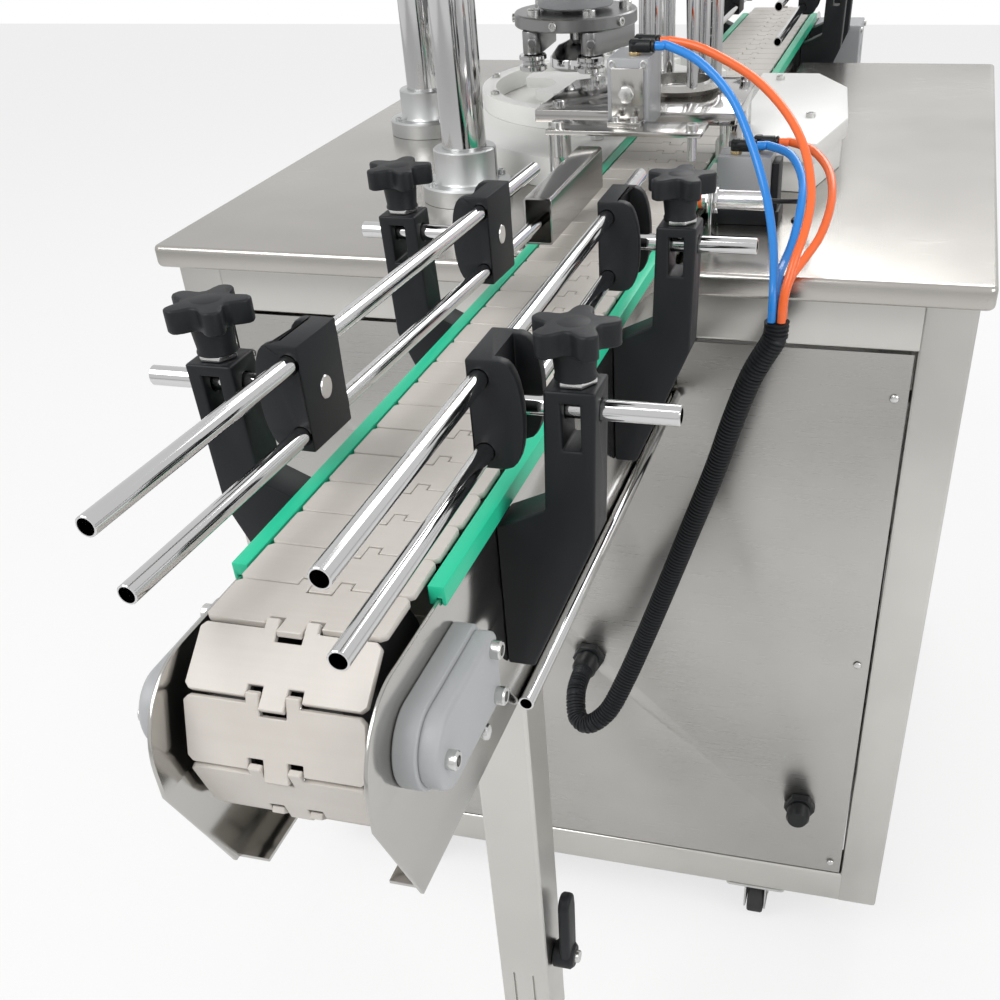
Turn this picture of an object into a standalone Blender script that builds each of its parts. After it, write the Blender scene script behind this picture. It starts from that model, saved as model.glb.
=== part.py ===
"""Can sealing machine: slat chain conveyor through a stainless cabinet, with a seaming head on pillars.

Metres, +Z up, +Y along the conveyor away from the infeed end, origin on the floor under the middle.
"""
import math

import bmesh
import bpy
from mathutils import Matrix, Vector

COLLECTION = "can_sealing_machine"
GAP = 0.0003
JOIN = 0.001
STEP_IN = 0.0004

# Table and cabinet
TABLE_HALF_WIDTH = 0.421
TABLE_FRONT, TABLE_BACK = -0.323, 0.668
TABLE_TOP = 0.908
TABLE_THICKNESS = 0.0217
TABLE_CORNER = 0.008
TUBE = 0.050
CABINET_HALF_WIDTH = 0.410
CABINET_FRONT, CABINET_BACK = -0.300, 0.645
CABINET_BOTTOM = 0.081
CABINET_TOP = TABLE_TOP - TABLE_THICKNESS - GAP
PANEL_THICKNESS = 0.0015
PANEL_SETBACK = 0.001
PANEL_CLEARANCE = 0.002
CRADLE_DEPTH = 0.030

# Conveyor
LANE_X = 0.065
CHAIN_TOP = 0.940
CHAIN_WIDTH = 0.1016
CHAIN_PITCH = 0.0381
CHAIN_PLATE = 0.004
LINK_GAP = 0.0012
LINKS_PER_TURN = 10
CARRY_PITCHES = 50
TAIL_Y = -0.960
SIDE_INNER = 0.058
SIDE_SHEET = 0.0025
SIDE_TOP = CHAIN_TOP - 0.009
SIDE_BOTTOM = CHAIN_TOP - 0.160
SIDE_END_REACH = 0.082
SHAFT_RADIUS = 0.010
SHAFT_CLEARANCE = 0.001
FLANGE_WIDTH = 0.020

# Can guides
ROD_RADIUS = 0.006
RAIL_RADIUS = 0.0055
RAIL_WALL = 0.001
ROD_Z = CHAIN_TOP + 0.057
RAIL_HEIGHTS = (0.080, 0.037)
COLUMN_IN, COLUMN_OUT = 0.095, 0.125
COLUMN_TOP = CHAIN_TOP + 0.072
COLUMN_DEPTH = 0.030
INFEED_BRACKETS = (-0.820, -0.525)
OUTFEED_BRACKETS = (0.725, 0.862)
HEAD_LENGTH = 0.048
LEFT_RAIL_NEAR, LEFT_RAIL_FAR = 0.060, 0.032
RIGHT_RAIL_NEAR, RIGHT_RAIL_FAR = 0.063, 0.0595

# Table devices
STAR_X, STAR_Y = -0.047, 0.240
STAR_POCKETS = 7
POCKET_CIRCLE = 0.130
CAN_RADIUS = 0.0365
CAN_CLEARANCE = 0.001
STAR_BOTTOM, STAR_TOP = CHAIN_TOP + 0.014, CHAIN_TOP + 0.026
WEAR_TOP = CHAIN_TOP
HEAD_TURN = math.radians(-2 * 360 / STAR_POCKETS)
HEAD_X = STAR_X + POCKET_CIRCLE * math.cos(HEAD_TURN)
HEAD_Y = STAR_Y + POCKET_CIRCLE * math.sin(HEAD_TURN)
LID_PLATE_TOP = CHAIN_TOP + 0.062
LID_PLATE_THICKNESS = 0.012
LID_HOLE_X, LID_HOLE_Y, LID_HOLE_RADIUS = 0.075, -0.020, 0.032

# Head frame
PILLARS = ((-0.146, -0.108), (-0.302, 0.183), (-0.056, 0.485))
PILLAR_RADIUS = 0.024
TOP_PLATE_BOTTOM = 1.600
PLATE_THICKNESS = 0.020
CARRIAGE_BOTTOM = 1.225
SCREW_X, SCREW_Y = -0.190, 0.220
SCREW_RADIUS = 0.010

FINISH = {
    "stainless": ((0.72, 0.71, 0.69), 0.25, 1.0),
    "polished": ((0.80, 0.80, 0.80), 0.10, 1.0),
    "cast": ((0.66, 0.67, 0.68), 0.45, 0.8),
    "chrome": ((0.82, 0.83, 0.84), 0.06, 1.0),
    "black": ((0.02, 0.022, 0.025), 0.45, 0.0),
    "rubber": ((0.03, 0.03, 0.03), 0.7, 0.0),
    "chain": ((0.60, 0.57, 0.54), 0.5, 0.0),
    "green": ((0.03, 0.55, 0.33), 0.35, 0.0),
    "white": ((0.88, 0.88, 0.86), 0.4, 0.0),
    "orange": ((1.0, 0.22, 0.08), 0.3, 0.0),
    "blue": ((0.03, 0.33, 0.78), 0.3, 0.0),
    "red": ((0.70, 0.02, 0.02), 0.35, 0.0),
    "paint": ((0.25, 0.30, 0.34), 0.4, 0.0),
}


def clear_scene():
    for existing in list(bpy.data.objects):
        bpy.data.objects.remove(existing, do_unlink=True)


def material(finish):
    name = "finish_" + finish
    if name in bpy.data.materials:
        return bpy.data.materials[name]
    colour, roughness, metallic = FINISH[finish]
    made = bpy.data.materials.new(name)
    made.use_nodes = True
    shader = made.node_tree.nodes["Principled BSDF"]
    shader.inputs["Base Color"].default_value = (*colour, 1.0)
    shader.inputs["Roughness"].default_value = roughness
    shader.inputs["Metallic"].default_value = metallic
    return made


def collection(name):
    if name not in bpy.data.collections:
        bpy.context.scene.collection.children.link(bpy.data.collections.new(name))
    return bpy.data.collections[name]


def object_from(mesh_builder, name="solid"):
    """Object in the work collection from a filled bmesh."""
    mesh = bpy.data.meshes.new(name)
    bmesh.ops.recalc_face_normals(mesh_builder, faces=mesh_builder.faces)
    mesh_builder.to_mesh(mesh)
    mesh_builder.free()
    made = bpy.data.objects.new(name, mesh)
    collection("work").objects.link(made)
    return made


def baked(made):
    """Mesh of an object with its modifiers applied, in world space; the object goes."""
    bpy.context.view_layer.update()
    graph = bpy.context.evaluated_depsgraph_get()
    mesh = bpy.data.meshes.new_from_object(made.evaluated_get(graph), depsgraph=graph)
    mesh.transform(made.matrix_world)
    bpy.data.objects.remove(made, do_unlink=True)
    return mesh


def welded(mesh):
    """Object from a mesh whose coincident points are merged."""
    builder = bmesh.new()
    builder.from_mesh(mesh)
    bmesh.ops.remove_doubles(builder, verts=builder.verts, dist=0.00001)
    return object_from(builder)


def box(low, high):
    builder = bmesh.new()
    bmesh.ops.create_cube(builder, size=1.0)
    size = Vector(high) - Vector(low)
    middle = (Vector(high) + Vector(low)) / 2
    for vert in builder.verts:
        vert.co = Vector((vert.co.x * size.x, vert.co.y * size.y, vert.co.z * size.z)) + middle
    return object_from(builder)


def rod(start, end, radius, sides=12, end_radius=None):
    """Solid cylinder or cone between two points."""
    direction = Vector(end) - Vector(start)
    builder = bmesh.new()
    bmesh.ops.create_cone(
        builder, cap_ends=True, segments=sides, radius1=radius,
        radius2=radius if end_radius is None else end_radius, depth=direction.length)
    turn = direction.to_track_quat("Z", "Y").to_matrix().to_4x4()
    middle = (Vector(start) + Vector(end)) / 2
    bmesh.ops.transform(builder, matrix=Matrix.Translation(middle) @ turn, verts=builder.verts)
    return object_from(builder)


def turned(profile, base, direction=(0, 0, 1), sides=16, ring=False):
    """Revolve (radius, height) points, listed down the outer side, about an axis through base."""
    mesh = bpy.data.meshes.new("profile")
    points = [(radius, 0.0, height) for radius, height in profile]
    edges = [(step, step + 1) for step in range(len(points) - 1)]
    if ring:
        edges.append((len(points) - 1, 0))
    mesh.from_pydata(points, edges, [])
    made = bpy.data.objects.new("turned", mesh)
    collection("work").objects.link(made)
    screw = made.modifiers.new("turn", "SCREW")
    screw.steps = screw.render_steps = sides
    screw.use_merge_vertices = True
    screw.merge_threshold = 0.00001
    turn = Vector(direction).to_track_quat("Z", "Y").to_matrix().to_4x4()
    made.matrix_world = Matrix.Translation(Vector(base)) @ turn
    return welded(baked(made))


def tube(start, end, outer, inner, sides=12):
    direction = Vector(end) - Vector(start)
    length = direction.length
    profile = [(outer, length), (outer, 0.0), (inner, 0.0), (inner, length)]
    return turned(profile, start, direction, sides, ring=True)


PLANES = {
    "XY": Matrix(((1, 0, 0, 0), (0, 1, 0, 0), (0, 0, 1, 0), (0, 0, 0, 1))),
    "XZ": Matrix(((1, 0, 0, 0), (0, 0, 1, 0), (0, 1, 0, 0), (0, 0, 0, 1))),
    "YZ": Matrix(((0, 0, 1, 0), (1, 0, 0, 0), (0, 1, 0, 0), (0, 0, 0, 1))),
}


def sheet(outlines, low, high, plane="XY"):
    """Flat outline, the first closed loop with any further loops as holes, extruded from low to high."""
    curve = bpy.data.curves.new("outline", "CURVE")
    curve.dimensions = "2D"
    curve.fill_mode = "BOTH"
    curve.extrude = (high - low) / 2
    for outline in outlines:
        spline = curve.splines.new("POLY")
        spline.points.add(len(outline) - 1)
        for point, (across, along) in zip(spline.points, outline):
            point.co = (across, along, 0.0, 1.0)
        spline.use_cyclic_u = True
    made = bpy.data.objects.new("outline", curve)
    collection("work").objects.link(made)
    made.matrix_world = PLANES[plane] @ Matrix.Translation((0, 0, (low + high) / 2))
    return welded(baked(made))


def arc(centre, radius, start, end, steps):
    """Points round part of a circle, in degrees."""
    turns = [math.radians(start + (end - start) * step / steps) for step in range(steps + 1)]
    return [(centre[0] + radius * math.cos(turn), centre[1] + radius * math.sin(turn)) for turn in turns]


def circle(centre, radius, steps=12):
    return arc(centre, radius, 0, 360 - 360 / steps, steps - 1)


def rounded(low, high, radius, steps=3):
    """Rectangle with round corners."""
    corners = (
        ((high[0] - radius, high[1] - radius), 0), ((low[0] + radius, high[1] - radius), 90),
        ((low[0] + radius, low[1] + radius), 180), ((high[0] - radius, low[1] + radius), 270))
    points = []
    for centre, start in corners:
        points += arc(centre, radius, start, start + 90, steps)
    return points


def combine(base, tools, operation):
    for tool in tools:
        modifier = base.modifiers.new(operation.lower(), "BOOLEAN")
        modifier.object = tool
        modifier.operation = operation
        modifier.solver = "EXACT"
        base = welded(baked(base))
        bpy.data.objects.remove(tool, do_unlink=True)
    return base


def cut(base, *tools):
    return combine(base, tools, "DIFFERENCE")


def fused(base, *tools):
    return combine(base, tools, "UNION")


def turned_about(made, centre, axis, degrees):
    made.matrix_world = (
        Matrix.Translation(Vector(centre)) @ Matrix.Rotation(math.radians(degrees), 4, axis)
        @ Matrix.Translation(-Vector(centre)) @ made.matrix_world)
    return made


def node(name, finish, solids, origin=(0, 0, 0)):
    """One named sub-part, its solids joined into one body, with its origin on its joint's axis."""
    first, others = solids[0], solids[1:]
    mesh = baked(fused(first, *others) if others else first)
    builder = bmesh.new()
    builder.from_mesh(mesh)
    bmesh.ops.translate(builder, verts=builder.verts, vec=-Vector(origin))
    bmesh.ops.recalc_face_normals(builder, faces=builder.faces)
    builder.to_mesh(mesh)
    builder.free()
    mesh.name = name
    mesh.shade_smooth()
    mesh.set_sharp_from_angle(angle=math.radians(30))
    mesh.materials.clear()
    mesh.materials.append(material(finish))
    made = bpy.data.objects.new(name, mesh)
    made.location = origin
    collection(COLLECTION).objects.link(made)
    return made


def mirrored(points, middle):
    """Outline points mirrored about a first coordinate, in reverse order."""
    return [(2 * middle - across, along) for across, along in reversed(points)]


def both_sides(inner, outer):
    """X ranges of a left and a right piece whose distances from the lane's middle line are given."""
    return ((LANE_X - outer, LANE_X - inner), (LANE_X + inner, LANE_X + outer))


# Cabinet

SLOT_HALF = SIDE_INNER + SIDE_SHEET + 0.0055
INNER_X = CABINET_HALF_WIDTH - TUBE
INNER_FRONT, INNER_BACK = CABINET_FRONT + TUBE, CABINET_BACK - TUBE


def rail(low, high, across):
    """Rail whose long faces stand a little inside the posts' faces, as ground welds leave them."""
    step = Vector(across) * STEP_IN
    return box(Vector(low) + step, Vector(high) - step)


def cabinet_frame():
    """Welded square tube frame with its side and rear panels, cradles, caster plates and rigid rear forks."""
    solids = []
    for x in (-CABINET_HALF_WIDTH, INNER_X):
        for y in (CABINET_FRONT, INNER_BACK):
            solids.append(box((x, y, CABINET_BOTTOM), (x + TUBE, y + TUBE, CABINET_TOP)))
        for z in (CABINET_BOTTOM, CABINET_TOP - TUBE):
            solids.append(rail((x, INNER_FRONT - JOIN, z), (x + TUBE, INNER_BACK + JOIN, z + TUBE), (1, 0, 1)))
    for y in (CABINET_FRONT, INNER_BACK):
        low, high = CABINET_BOTTOM, CABINET_TOP - TUBE
        solids.append(rail((-INNER_X - JOIN, y, low), (INNER_X + JOIN, y + TUBE, low + TUBE), (0, 1, 1)))
        for x_low, x_high in ((-INNER_X - JOIN, LANE_X - SLOT_HALF), (LANE_X + SLOT_HALF, INNER_X + JOIN)):
            solids.append(rail((x_low, y, high), (x_high, y + TUBE, high + TUBE), (0, 1, 1)))
    cradle_top = SIDE_BOTTOM - GAP
    for y in (CABINET_FRONT + TUBE - CRADLE_DEPTH, INNER_BACK):
        solids.append(rail((-INNER_X - JOIN, y, cradle_top - TUBE), (INNER_X + JOIN, y + CRADLE_DEPTH, cradle_top), (0, 1, 0)))
    rear_y = CABINET_BACK - PANEL_SETBACK
    solids.append(sheet([panel_outline(-JOIN, NOTCH_BOTTOM)], rear_y - PANEL_THICKNESS, rear_y, "XZ"))
    for side in (-1, 1):
        outer = side * (CABINET_HALF_WIDTH - PANEL_SETBACK)
        inner = outer - side * PANEL_THICKNESS
        low = (min(outer, inner), INNER_FRONT - JOIN, CABINET_BOTTOM + TUBE - JOIN)
        high = (max(outer, inner), INNER_BACK + JOIN, CABINET_TOP - TUBE + JOIN)
        solids.append(box(low, high))
    for x in (-CASTER_X, CASTER_X):
        solids += caster_mount(x, CASTER_FRONT) + caster_mount(x, CASTER_BACK)
        solids.append(caster_fork(x, CASTER_BACK, CASTER_BACK, CASTER_CROWN + JOIN))
    node("cabinet_frame", "stainless", solids)


def panel_outline(clearance, notch_bottom):
    """Panel between the posts and rails, with a notch for the conveyor down to notch_bottom."""
    half = INNER_X - clearance
    low, high = CABINET_BOTTOM + TUBE + clearance, CABINET_TOP - TUBE - clearance
    notch = [(LANE_X + SLOT_HALF, high), (LANE_X + SLOT_HALF, notch_bottom),
             (LANE_X - SLOT_HALF, notch_bottom), (LANE_X - SLOT_HALF, high)]
    return [(-half, low), (half, low), (half, high)] + notch + [(-half, high)]


CONDUIT_GLAND = (0.029, 0.437)
POWER_GLAND = (0.298, 0.244)
GLAND_HOLE = 0.0105
NOTCH_BOTTOM = SIDE_BOTTOM - 0.003


def gland(place, length):
    """Domed cable gland on the front panel, its thread in the panel's hole."""
    profile = [(0.0, length), (0.0125, length), (0.0145, length - 0.004), (0.0145, 0.012), (0.018, 0.011),
               (0.018, GAP), (GLAND_HOLE - GAP, GAP), (GLAND_HOLE - GAP, -0.008), (0.0, -0.008)]
    return turned(profile, (place[0], CABINET_FRONT + PANEL_SETBACK, place[1]), (0, -1, 0), 12)


def front_panel():
    """Inset front panel; the spare gland is screwed to it, and so part of it."""
    front_y = CABINET_FRONT + PANEL_SETBACK
    outline = panel_outline(PANEL_CLEARANCE, NOTCH_BOTTOM)
    panel = sheet([outline, circle(CONDUIT_GLAND, GLAND_HOLE)], front_y, front_y + PANEL_THICKNESS, "XZ")
    spare = gland(POWER_GLAND, SPARE_GLAND_LENGTH)
    washer = rod((POWER_GLAND[0], front_y - 0.002, POWER_GLAND[1]), (POWER_GLAND[0], front_y + 0.001, POWER_GLAND[1]), 0.016, 12)
    node("front_panel", "stainless", [panel, washer, spare])
    node("conduit_gland", "black", [gland(CONDUIT_GLAND, GLAND_LENGTH)])


GLAND_LENGTH = 0.035
SPARE_GLAND_LENGTH = 0.030


STAR_SHAFT = 0.0125
LIFT_SHAFT = 0.010
SENSOR_GROMMET = (0.228, -0.152)


def table():
    """Two plates, one each side of the conveyor slot, with holes for the shafts under the star wheel and can."""
    bottom = TABLE_TOP - TABLE_THICKNESS
    left_edge, right_edge = LANE_X - SLOT_HALF, LANE_X + SLOT_HALF
    left = rounded((-TABLE_HALF_WIDTH, TABLE_FRONT), (left_edge, TABLE_BACK), TABLE_CORNER)
    holes = [circle((STAR_X, STAR_Y), STAR_SHAFT + 0.002), circle((HEAD_X, HEAD_Y), LIFT_SHAFT + 0.002)]
    right = rounded((right_edge, TABLE_FRONT), (TABLE_HALF_WIDTH, TABLE_BACK), TABLE_CORNER)
    x, y = SENSOR_GROMMET
    profile = [(0.0, GROMMET_TOP), (0.005, GROMMET_TOP), (0.010, TABLE_TOP + 0.002), (0.010, TABLE_TOP - 0.006),
               (0.0, TABLE_TOP - 0.006)]
    node("table_left", "stainless", [sheet([left] + holes, bottom, TABLE_TOP)])
    node("table_right", "stainless", [sheet([right], bottom, TABLE_TOP), turned(profile, (x, y, 0), sides=12)])


GROMMET_TOP = TABLE_TOP + 0.004
CASTER_TOP = CABINET_BOTTOM
CASTER_WHEEL = 0.0325
CASTER_X, CASTER_FRONT, CASTER_BACK = 0.250, -0.275, 0.620
CASTER_TRAIL = 0.018
CASTER_HALF = 0.011


CASTER_LEG = 0.0025
CASTER_SIDE_GAP = 0.0015
CASTER_PLATE = 0.003
CASTER_BEARING = 0.0052


CASTER_CROWN = CASTER_TOP - CASTER_PLATE - CASTER_BEARING - GAP


def caster_mount(x, y):
    """Plate bolted under a bottom rail and the bearing ring below it."""
    outline = rounded((x - 0.040, y - 0.025), (x + 0.040, y + 0.025), 0.006, 2)
    plate_bottom = CASTER_TOP - CASTER_PLATE
    return [sheet([outline], plate_bottom, CASTER_TOP + JOIN),
            rod((x, y, plate_bottom - CASTER_BEARING), (x, y, plate_bottom + JOIN), 0.018, 12)]


def caster_fork(x, y, axle_y, crown):
    leg_in = CASTER_HALF + CASTER_SIDE_GAP
    leg_out = leg_in + CASTER_LEG
    low = CASTER_WHEEL - 0.007
    ceiling = CASTER_CROWN - 0.003
    outline = [(x - leg_out, low), (x - leg_in, low), (x - leg_in, ceiling), (x + leg_in, ceiling),
               (x + leg_in, low), (x + leg_out, low), (x + leg_out, crown), (x - leg_out, crown)]
    fork = sheet([outline], y - 0.012, axle_y + 0.008, "XZ")
    pin = rod((x - leg_out - 0.001, axle_y, CASTER_WHEEL), (x + leg_out + 0.001, axle_y, CASTER_WHEEL), 0.004, 12)
    return fused(fork, pin)


def caster_wheel(x, y):
    tread = 0.003
    bore = 0.0044
    profile = [(CASTER_WHEEL - tread, CASTER_HALF), (CASTER_WHEEL, CASTER_HALF - tread),
               (CASTER_WHEEL, tread - CASTER_HALF), (CASTER_WHEEL - tread, -CASTER_HALF),
               (bore, -CASTER_HALF), (bore, CASTER_HALF)]
    return turned(profile, (x, y, CASTER_WHEEL), (1, 0, 0), 20, ring=True)


def casters():
    """Swivel casters at the front; the rear pair is rigid, its forks carried by the frame."""
    for word, x in (("left", -CASTER_X), ("right", CASTER_X)):
        axle_y = CASTER_FRONT + CASTER_TRAIL
        fork = caster_fork(x, CASTER_FRONT, axle_y, CASTER_CROWN)
        node("caster_fork_" + word, "stainless", [fork], (x, CASTER_FRONT, CASTER_CROWN))
        node("caster_wheel_" + word, "rubber", [caster_wheel(x, axle_y)], (x, axle_y, CASTER_WHEEL))
        node("rear_wheel_" + word, "rubber", [caster_wheel(x, CASTER_BACK)], (x, CASTER_BACK, CASTER_WHEEL))


# Conveyor

TURN = 360 / LINKS_PER_TURN
PIN_RADIUS = CHAIN_PITCH / (2 * math.sin(math.radians(TURN / 2)))
APOTHEM = PIN_RADIUS * math.cos(math.radians(TURN / 2))
WHEEL_Z = CHAIN_TOP - CHAIN_PLATE - APOTHEM
DRIVE_Y = TAIL_Y + CARRY_PITCHES * CHAIN_PITCH
CONVEYOR_MIDDLE = (TAIL_Y + DRIVE_Y) / 2
HINGE_LOW, HINGE_HIGH = 0.001, 0.0022
RETURN_GROUP = 5


def slat_chain():
    """Closed loop of slats parted by grooves down to their hinge lines; the return run is drawn in groups."""
    places = [(TAIL_Y + step * CHAIN_PITCH, 0.0, 1) for step in range(CARRY_PITCHES + 1)]
    places += [(DRIVE_Y, step * TURN, 1) for step in range(1, LINKS_PER_TURN // 2 + 1)]
    groups = CARRY_PITCHES // RETURN_GROUP - 1
    first = DRIVE_Y - (1 + (RETURN_GROUP - 1) / 2) * CHAIN_PITCH
    places += [(first - step * RETURN_GROUP * CHAIN_PITCH, 180.0, RETURN_GROUP) for step in range(groups)]
    places += [(TAIL_Y + step * CHAIN_PITCH, 180.0, 1) for step in range(CARRY_PITCHES - 1 - groups * RETURN_GROUP, -1, -1)]
    places += [(TAIL_Y, 180.0 + step * TURN, 1) for step in range(1, LINKS_PER_TURN // 2)]
    builder = bmesh.new()
    half = CHAIN_WIDTH / 2
    links = []
    for y, degrees, count in places:
        turn = math.radians(degrees)
        edge = (CHAIN_PITCH * count - LINK_GAP) / 2
        corners = []
        for across, rise in ((-edge, HINGE_LOW), (-edge, 0.0), (edge, 0.0), (edge, HINGE_LOW),
                             (edge, HINGE_HIGH), (edge, CHAIN_PLATE), (-edge, CHAIN_PLATE), (-edge, HINGE_HIGH)):
            corners.append(builder.verts.new((
                LANE_X - half, y + across * math.cos(turn) + (APOTHEM + rise) * math.sin(turn),
                WHEEL_Z - across * math.sin(turn) + (APOTHEM + rise) * math.cos(turn))))
        links.append(corners)
    sides = []
    for link, after in zip(links, links[1:] + links[:1]):
        sides.append(builder.faces.new((link[0], link[1], link[2], link[3])))
        sides.append(builder.faces.new((link[0], link[3], link[4], link[7])))
        sides.append(builder.faces.new((link[7], link[4], link[5], link[6])))
        sides.append(builder.faces.new((link[3], after[0], after[7], link[4])))
    raised = bmesh.ops.extrude_face_region(builder, geom=sides, use_keep_orig=True)["geom"]
    new_verts = [item for item in raised if isinstance(item, bmesh.types.BMVert)]
    bmesh.ops.translate(builder, verts=new_verts, vec=(CHAIN_WIDTH, 0, 0))
    node("slat_chain", "chain", [object_from(builder)])


def side_outline():
    """Side plate seen along X: rounded top corner, straight nose and a raked lower end, at both ends."""
    end = TAIL_Y - SIDE_END_REACH
    corner = 0.048
    near = arc((end + corner, SIDE_TOP - corner), corner, 90, 180, 6)
    near += [(end, SIDE_TOP - 0.066), (end + 0.039, SIDE_BOTTOM)]
    return near + mirrored(near, CONVEYOR_MIDDLE)


def conveyor_frame():
    """Side plates with inward flanges, joined by round bars that carry the chain tracks and wear strips."""
    bar_z = TRACK_BOTTOM + JOIN - BAR_RADIUS
    solids = [rod((LANE_X - SIDE_INNER - JOIN, y, bar_z), (LANE_X + SIDE_INNER + JOIN, y, bar_z), BAR_RADIUS, 8)
              for y in BAR_PLACES]
    for side in (-1, 1):
        inner, outer = LANE_X + side * SIDE_INNER, LANE_X + side * (SIDE_INNER + SIDE_SHEET)
        holes = [circle((y, WHEEL_Z), SHAFT_RADIUS + SHAFT_CLEARANCE, 12) for y in (TAIL_Y, DRIVE_Y)]
        solids.append(sheet([side_outline()] + holes, min(inner, outer), max(inner, outer), "YZ"))
        reach = sorted((inner + side * JOIN, inner - side * FLANGE_WIDTH))
        ends = (TAIL_Y - SIDE_END_REACH + 0.042, DRIVE_Y + SIDE_END_REACH - 0.042)
        solids.append(box((reach[0], ends[0], SIDE_BOTTOM + 0.0005), (reach[1], ends[1], SIDE_BOTTOM + 0.003)))
    node("conveyor_frame", "polished", solids + chain_supports())


STRIP_NEAR = TAIL_Y + 0.033
TRACK_BOTTOM = CHAIN_TOP - CHAIN_PLATE - GAP - 0.012
BAR_RADIUS = 0.008
BAR_PLACES = (-0.870, -0.640, -0.390, 0.020, 0.420, 0.700, 0.855)
RETURN_Z = WHEEL_Z - APOTHEM - CHAIN_PLATE


def wear_strips():
    """Green strips clipped over the plates' top edges, level with the chain."""
    strip_far = 2 * CONVEYOR_MIDDLE - STRIP_NEAR
    outer = SIDE_INNER + SIDE_SHEET + GAP + STRIP_WALL
    top = CHAIN_TOP - 0.001
    for word, side in (("left", -1), ("right", 1)):
        profile = [(0.0534, top), (outer, top), (outer, SIDE_TOP - STRIP_SKIRT), (outer - STRIP_WALL, SIDE_TOP - STRIP_SKIRT),
                   (outer - STRIP_WALL, SIDE_TOP + GAP), (SIDE_INNER - GAP, SIDE_TOP + GAP),
                   (SIDE_INNER - GAP, SIDE_TOP - 0.004), (0.0534, SIDE_TOP - 0.004)]
        outline = [(LANE_X + side * across, level) for across, level in profile]
        node("wear_strip_" + word, "green", [sheet([outline], STRIP_NEAR, strip_far, "XZ")])


STRIP_WALL = 0.0025
STRIP_SKIRT = 0.004


def chain_supports():
    """Carry tracks on the bars and return tracks on the plates."""
    track_ends = (TAIL_Y + APOTHEM + 0.006, DRIVE_Y - APOTHEM - 0.006)
    solids = [box((low, track_ends[0], TRACK_BOTTOM), (high, track_ends[1], TRACK_BOTTOM + 0.012))
              for low, high in both_sides(0.020, 0.038)]
    solids += [box((low, track_ends[0], RETURN_Z - GAP - 0.012), (high, track_ends[1], RETURN_Z - GAP))
               for low, high in both_sides(0.038, SIDE_INNER + JOIN)]
    return solids


def gear_outline(tip, root, teeth, centre):
    points = []
    for tooth in range(teeth):
        start = 360 * tooth / teeth
        for radius, part in ((root, 0.0), (root, 0.35), (tip, 0.5), (tip, 0.85)):
            turn = math.radians(start + 360 / teeth * part)
            points.append((centre[0] + radius * math.cos(turn), centre[1] + radius * math.sin(turn)))
    return points


HOUSING_BASE = 0.0135
HOUSING_COVER = 0.0125


def wheels_and_shafts():
    """Smooth wheels at the tail and toothed ones at the drive end, each pair on its shaft."""
    rim = APOTHEM - 0.0006
    for name, y in (("tail_wheels", TAIL_Y), ("drive_sprockets", DRIVE_Y)):
        reach = SIDE_INNER + SIDE_SHEET
        left, right = (reach + 0.010, reach + 0.010) if y == TAIL_Y else (reach + 0.006, reach + 0.060)
        solids = [rod((LANE_X - left, y, WHEEL_Z), (LANE_X + right, y, WHEEL_Z), SHAFT_RADIUS)]
        for low, high in both_sides(0.016, 0.036):
            if y == TAIL_Y:
                solids.append(rod((low, y, WHEEL_Z), (high, y, WHEEL_Z), rim, 20))
            else:
                teeth = gear_outline(rim, rim - 0.007, LINKS_PER_TURN, (y, WHEEL_Z))
                solids.append(sheet([teeth], low, high, "YZ"))
        node(name, "white", solids, (LANE_X, y, WHEEL_Z))


def housing_outline(inset):
    """Bearing housing seen along X: square rear end, full round nose."""
    low, high, nose, rear = CHAIN_TOP - 0.082, CHAIN_TOP - 0.030, TAIL_Y - 0.055, TAIL_Y + 0.048
    radius = (high - low) / 2 - inset
    centre = (nose + (high - low) / 2, (low + high) / 2)
    return arc(centre, radius, 90, 270, 8) + [(rear - inset, low + inset), (rear - inset, high - inset)]


def bearing_housings():
    """Two-layer tail bearing housings outside the side plates: bored base and closed cover."""
    for word, side in (("left", -1), ("right", 1)):
        face = SIDE_INNER + SIDE_SHEET + GAP
        base = sorted((LANE_X + side * face, LANE_X + side * (face + HOUSING_BASE)))
        seat = face + HOUSING_BASE - JOIN
        cover = sorted((LANE_X + side * seat, LANE_X + side * (seat + HOUSING_COVER)))
        bore = circle((TAIL_Y, WHEEL_Z), SHAFT_RADIUS + SHAFT_CLEARANCE)
        layers = [sheet([housing_outline(0.0), bore], *base, "YZ"), sheet([housing_outline(0.002)], *cover, "YZ")]
        node("tail_housing_" + word, "cast", layers)


GEARBOX_HALF = 0.045
GEARBOX_LENGTH = 0.078
MOTOR_LENGTH = 0.170


def gearmotor():
    """Right-angle gearbox on the right side plate, motor hanging below it."""
    start = LANE_X + SIDE_INNER + SIDE_SHEET + GAP
    bore = circle((DRIVE_Y, WHEEL_Z), SHAFT_RADIUS + SHAFT_CLEARANCE)
    body = rounded((DRIVE_Y - GEARBOX_HALF, WHEEL_Z - GEARBOX_HALF), (DRIVE_Y + GEARBOX_HALF, WHEEL_Z + GEARBOX_HALF), 0.010)
    gearbox = sheet([body, bore], start, start + GEARBOX_LENGTH, "YZ")
    x = start + GEARBOX_LENGTH / 2
    top = WHEEL_Z - GEARBOX_HALF + JOIN
    profile = [(0.0, top), (0.038, top)]
    for step in range(2):
        level = top - 0.020 - step * 0.060
        profile += [(0.038, level), (0.034, level - 0.004), (0.034, level - 0.010), (0.038, level - 0.014)]
    profile += [(0.038, top - MOTOR_LENGTH), (0.0, top - MOTOR_LENGTH)]
    node("drive_gearmotor", "cast", [gearbox, turned(profile, (x, DRIVE_Y, 0), sides=16)])


LEG_Y = -0.687
LEG_TUBE_WALL = 0.002
LEG_INNER_HALF = 0.0225
LEG_LOWER_END = 0.250
LEVER_Z = 0.352


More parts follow.
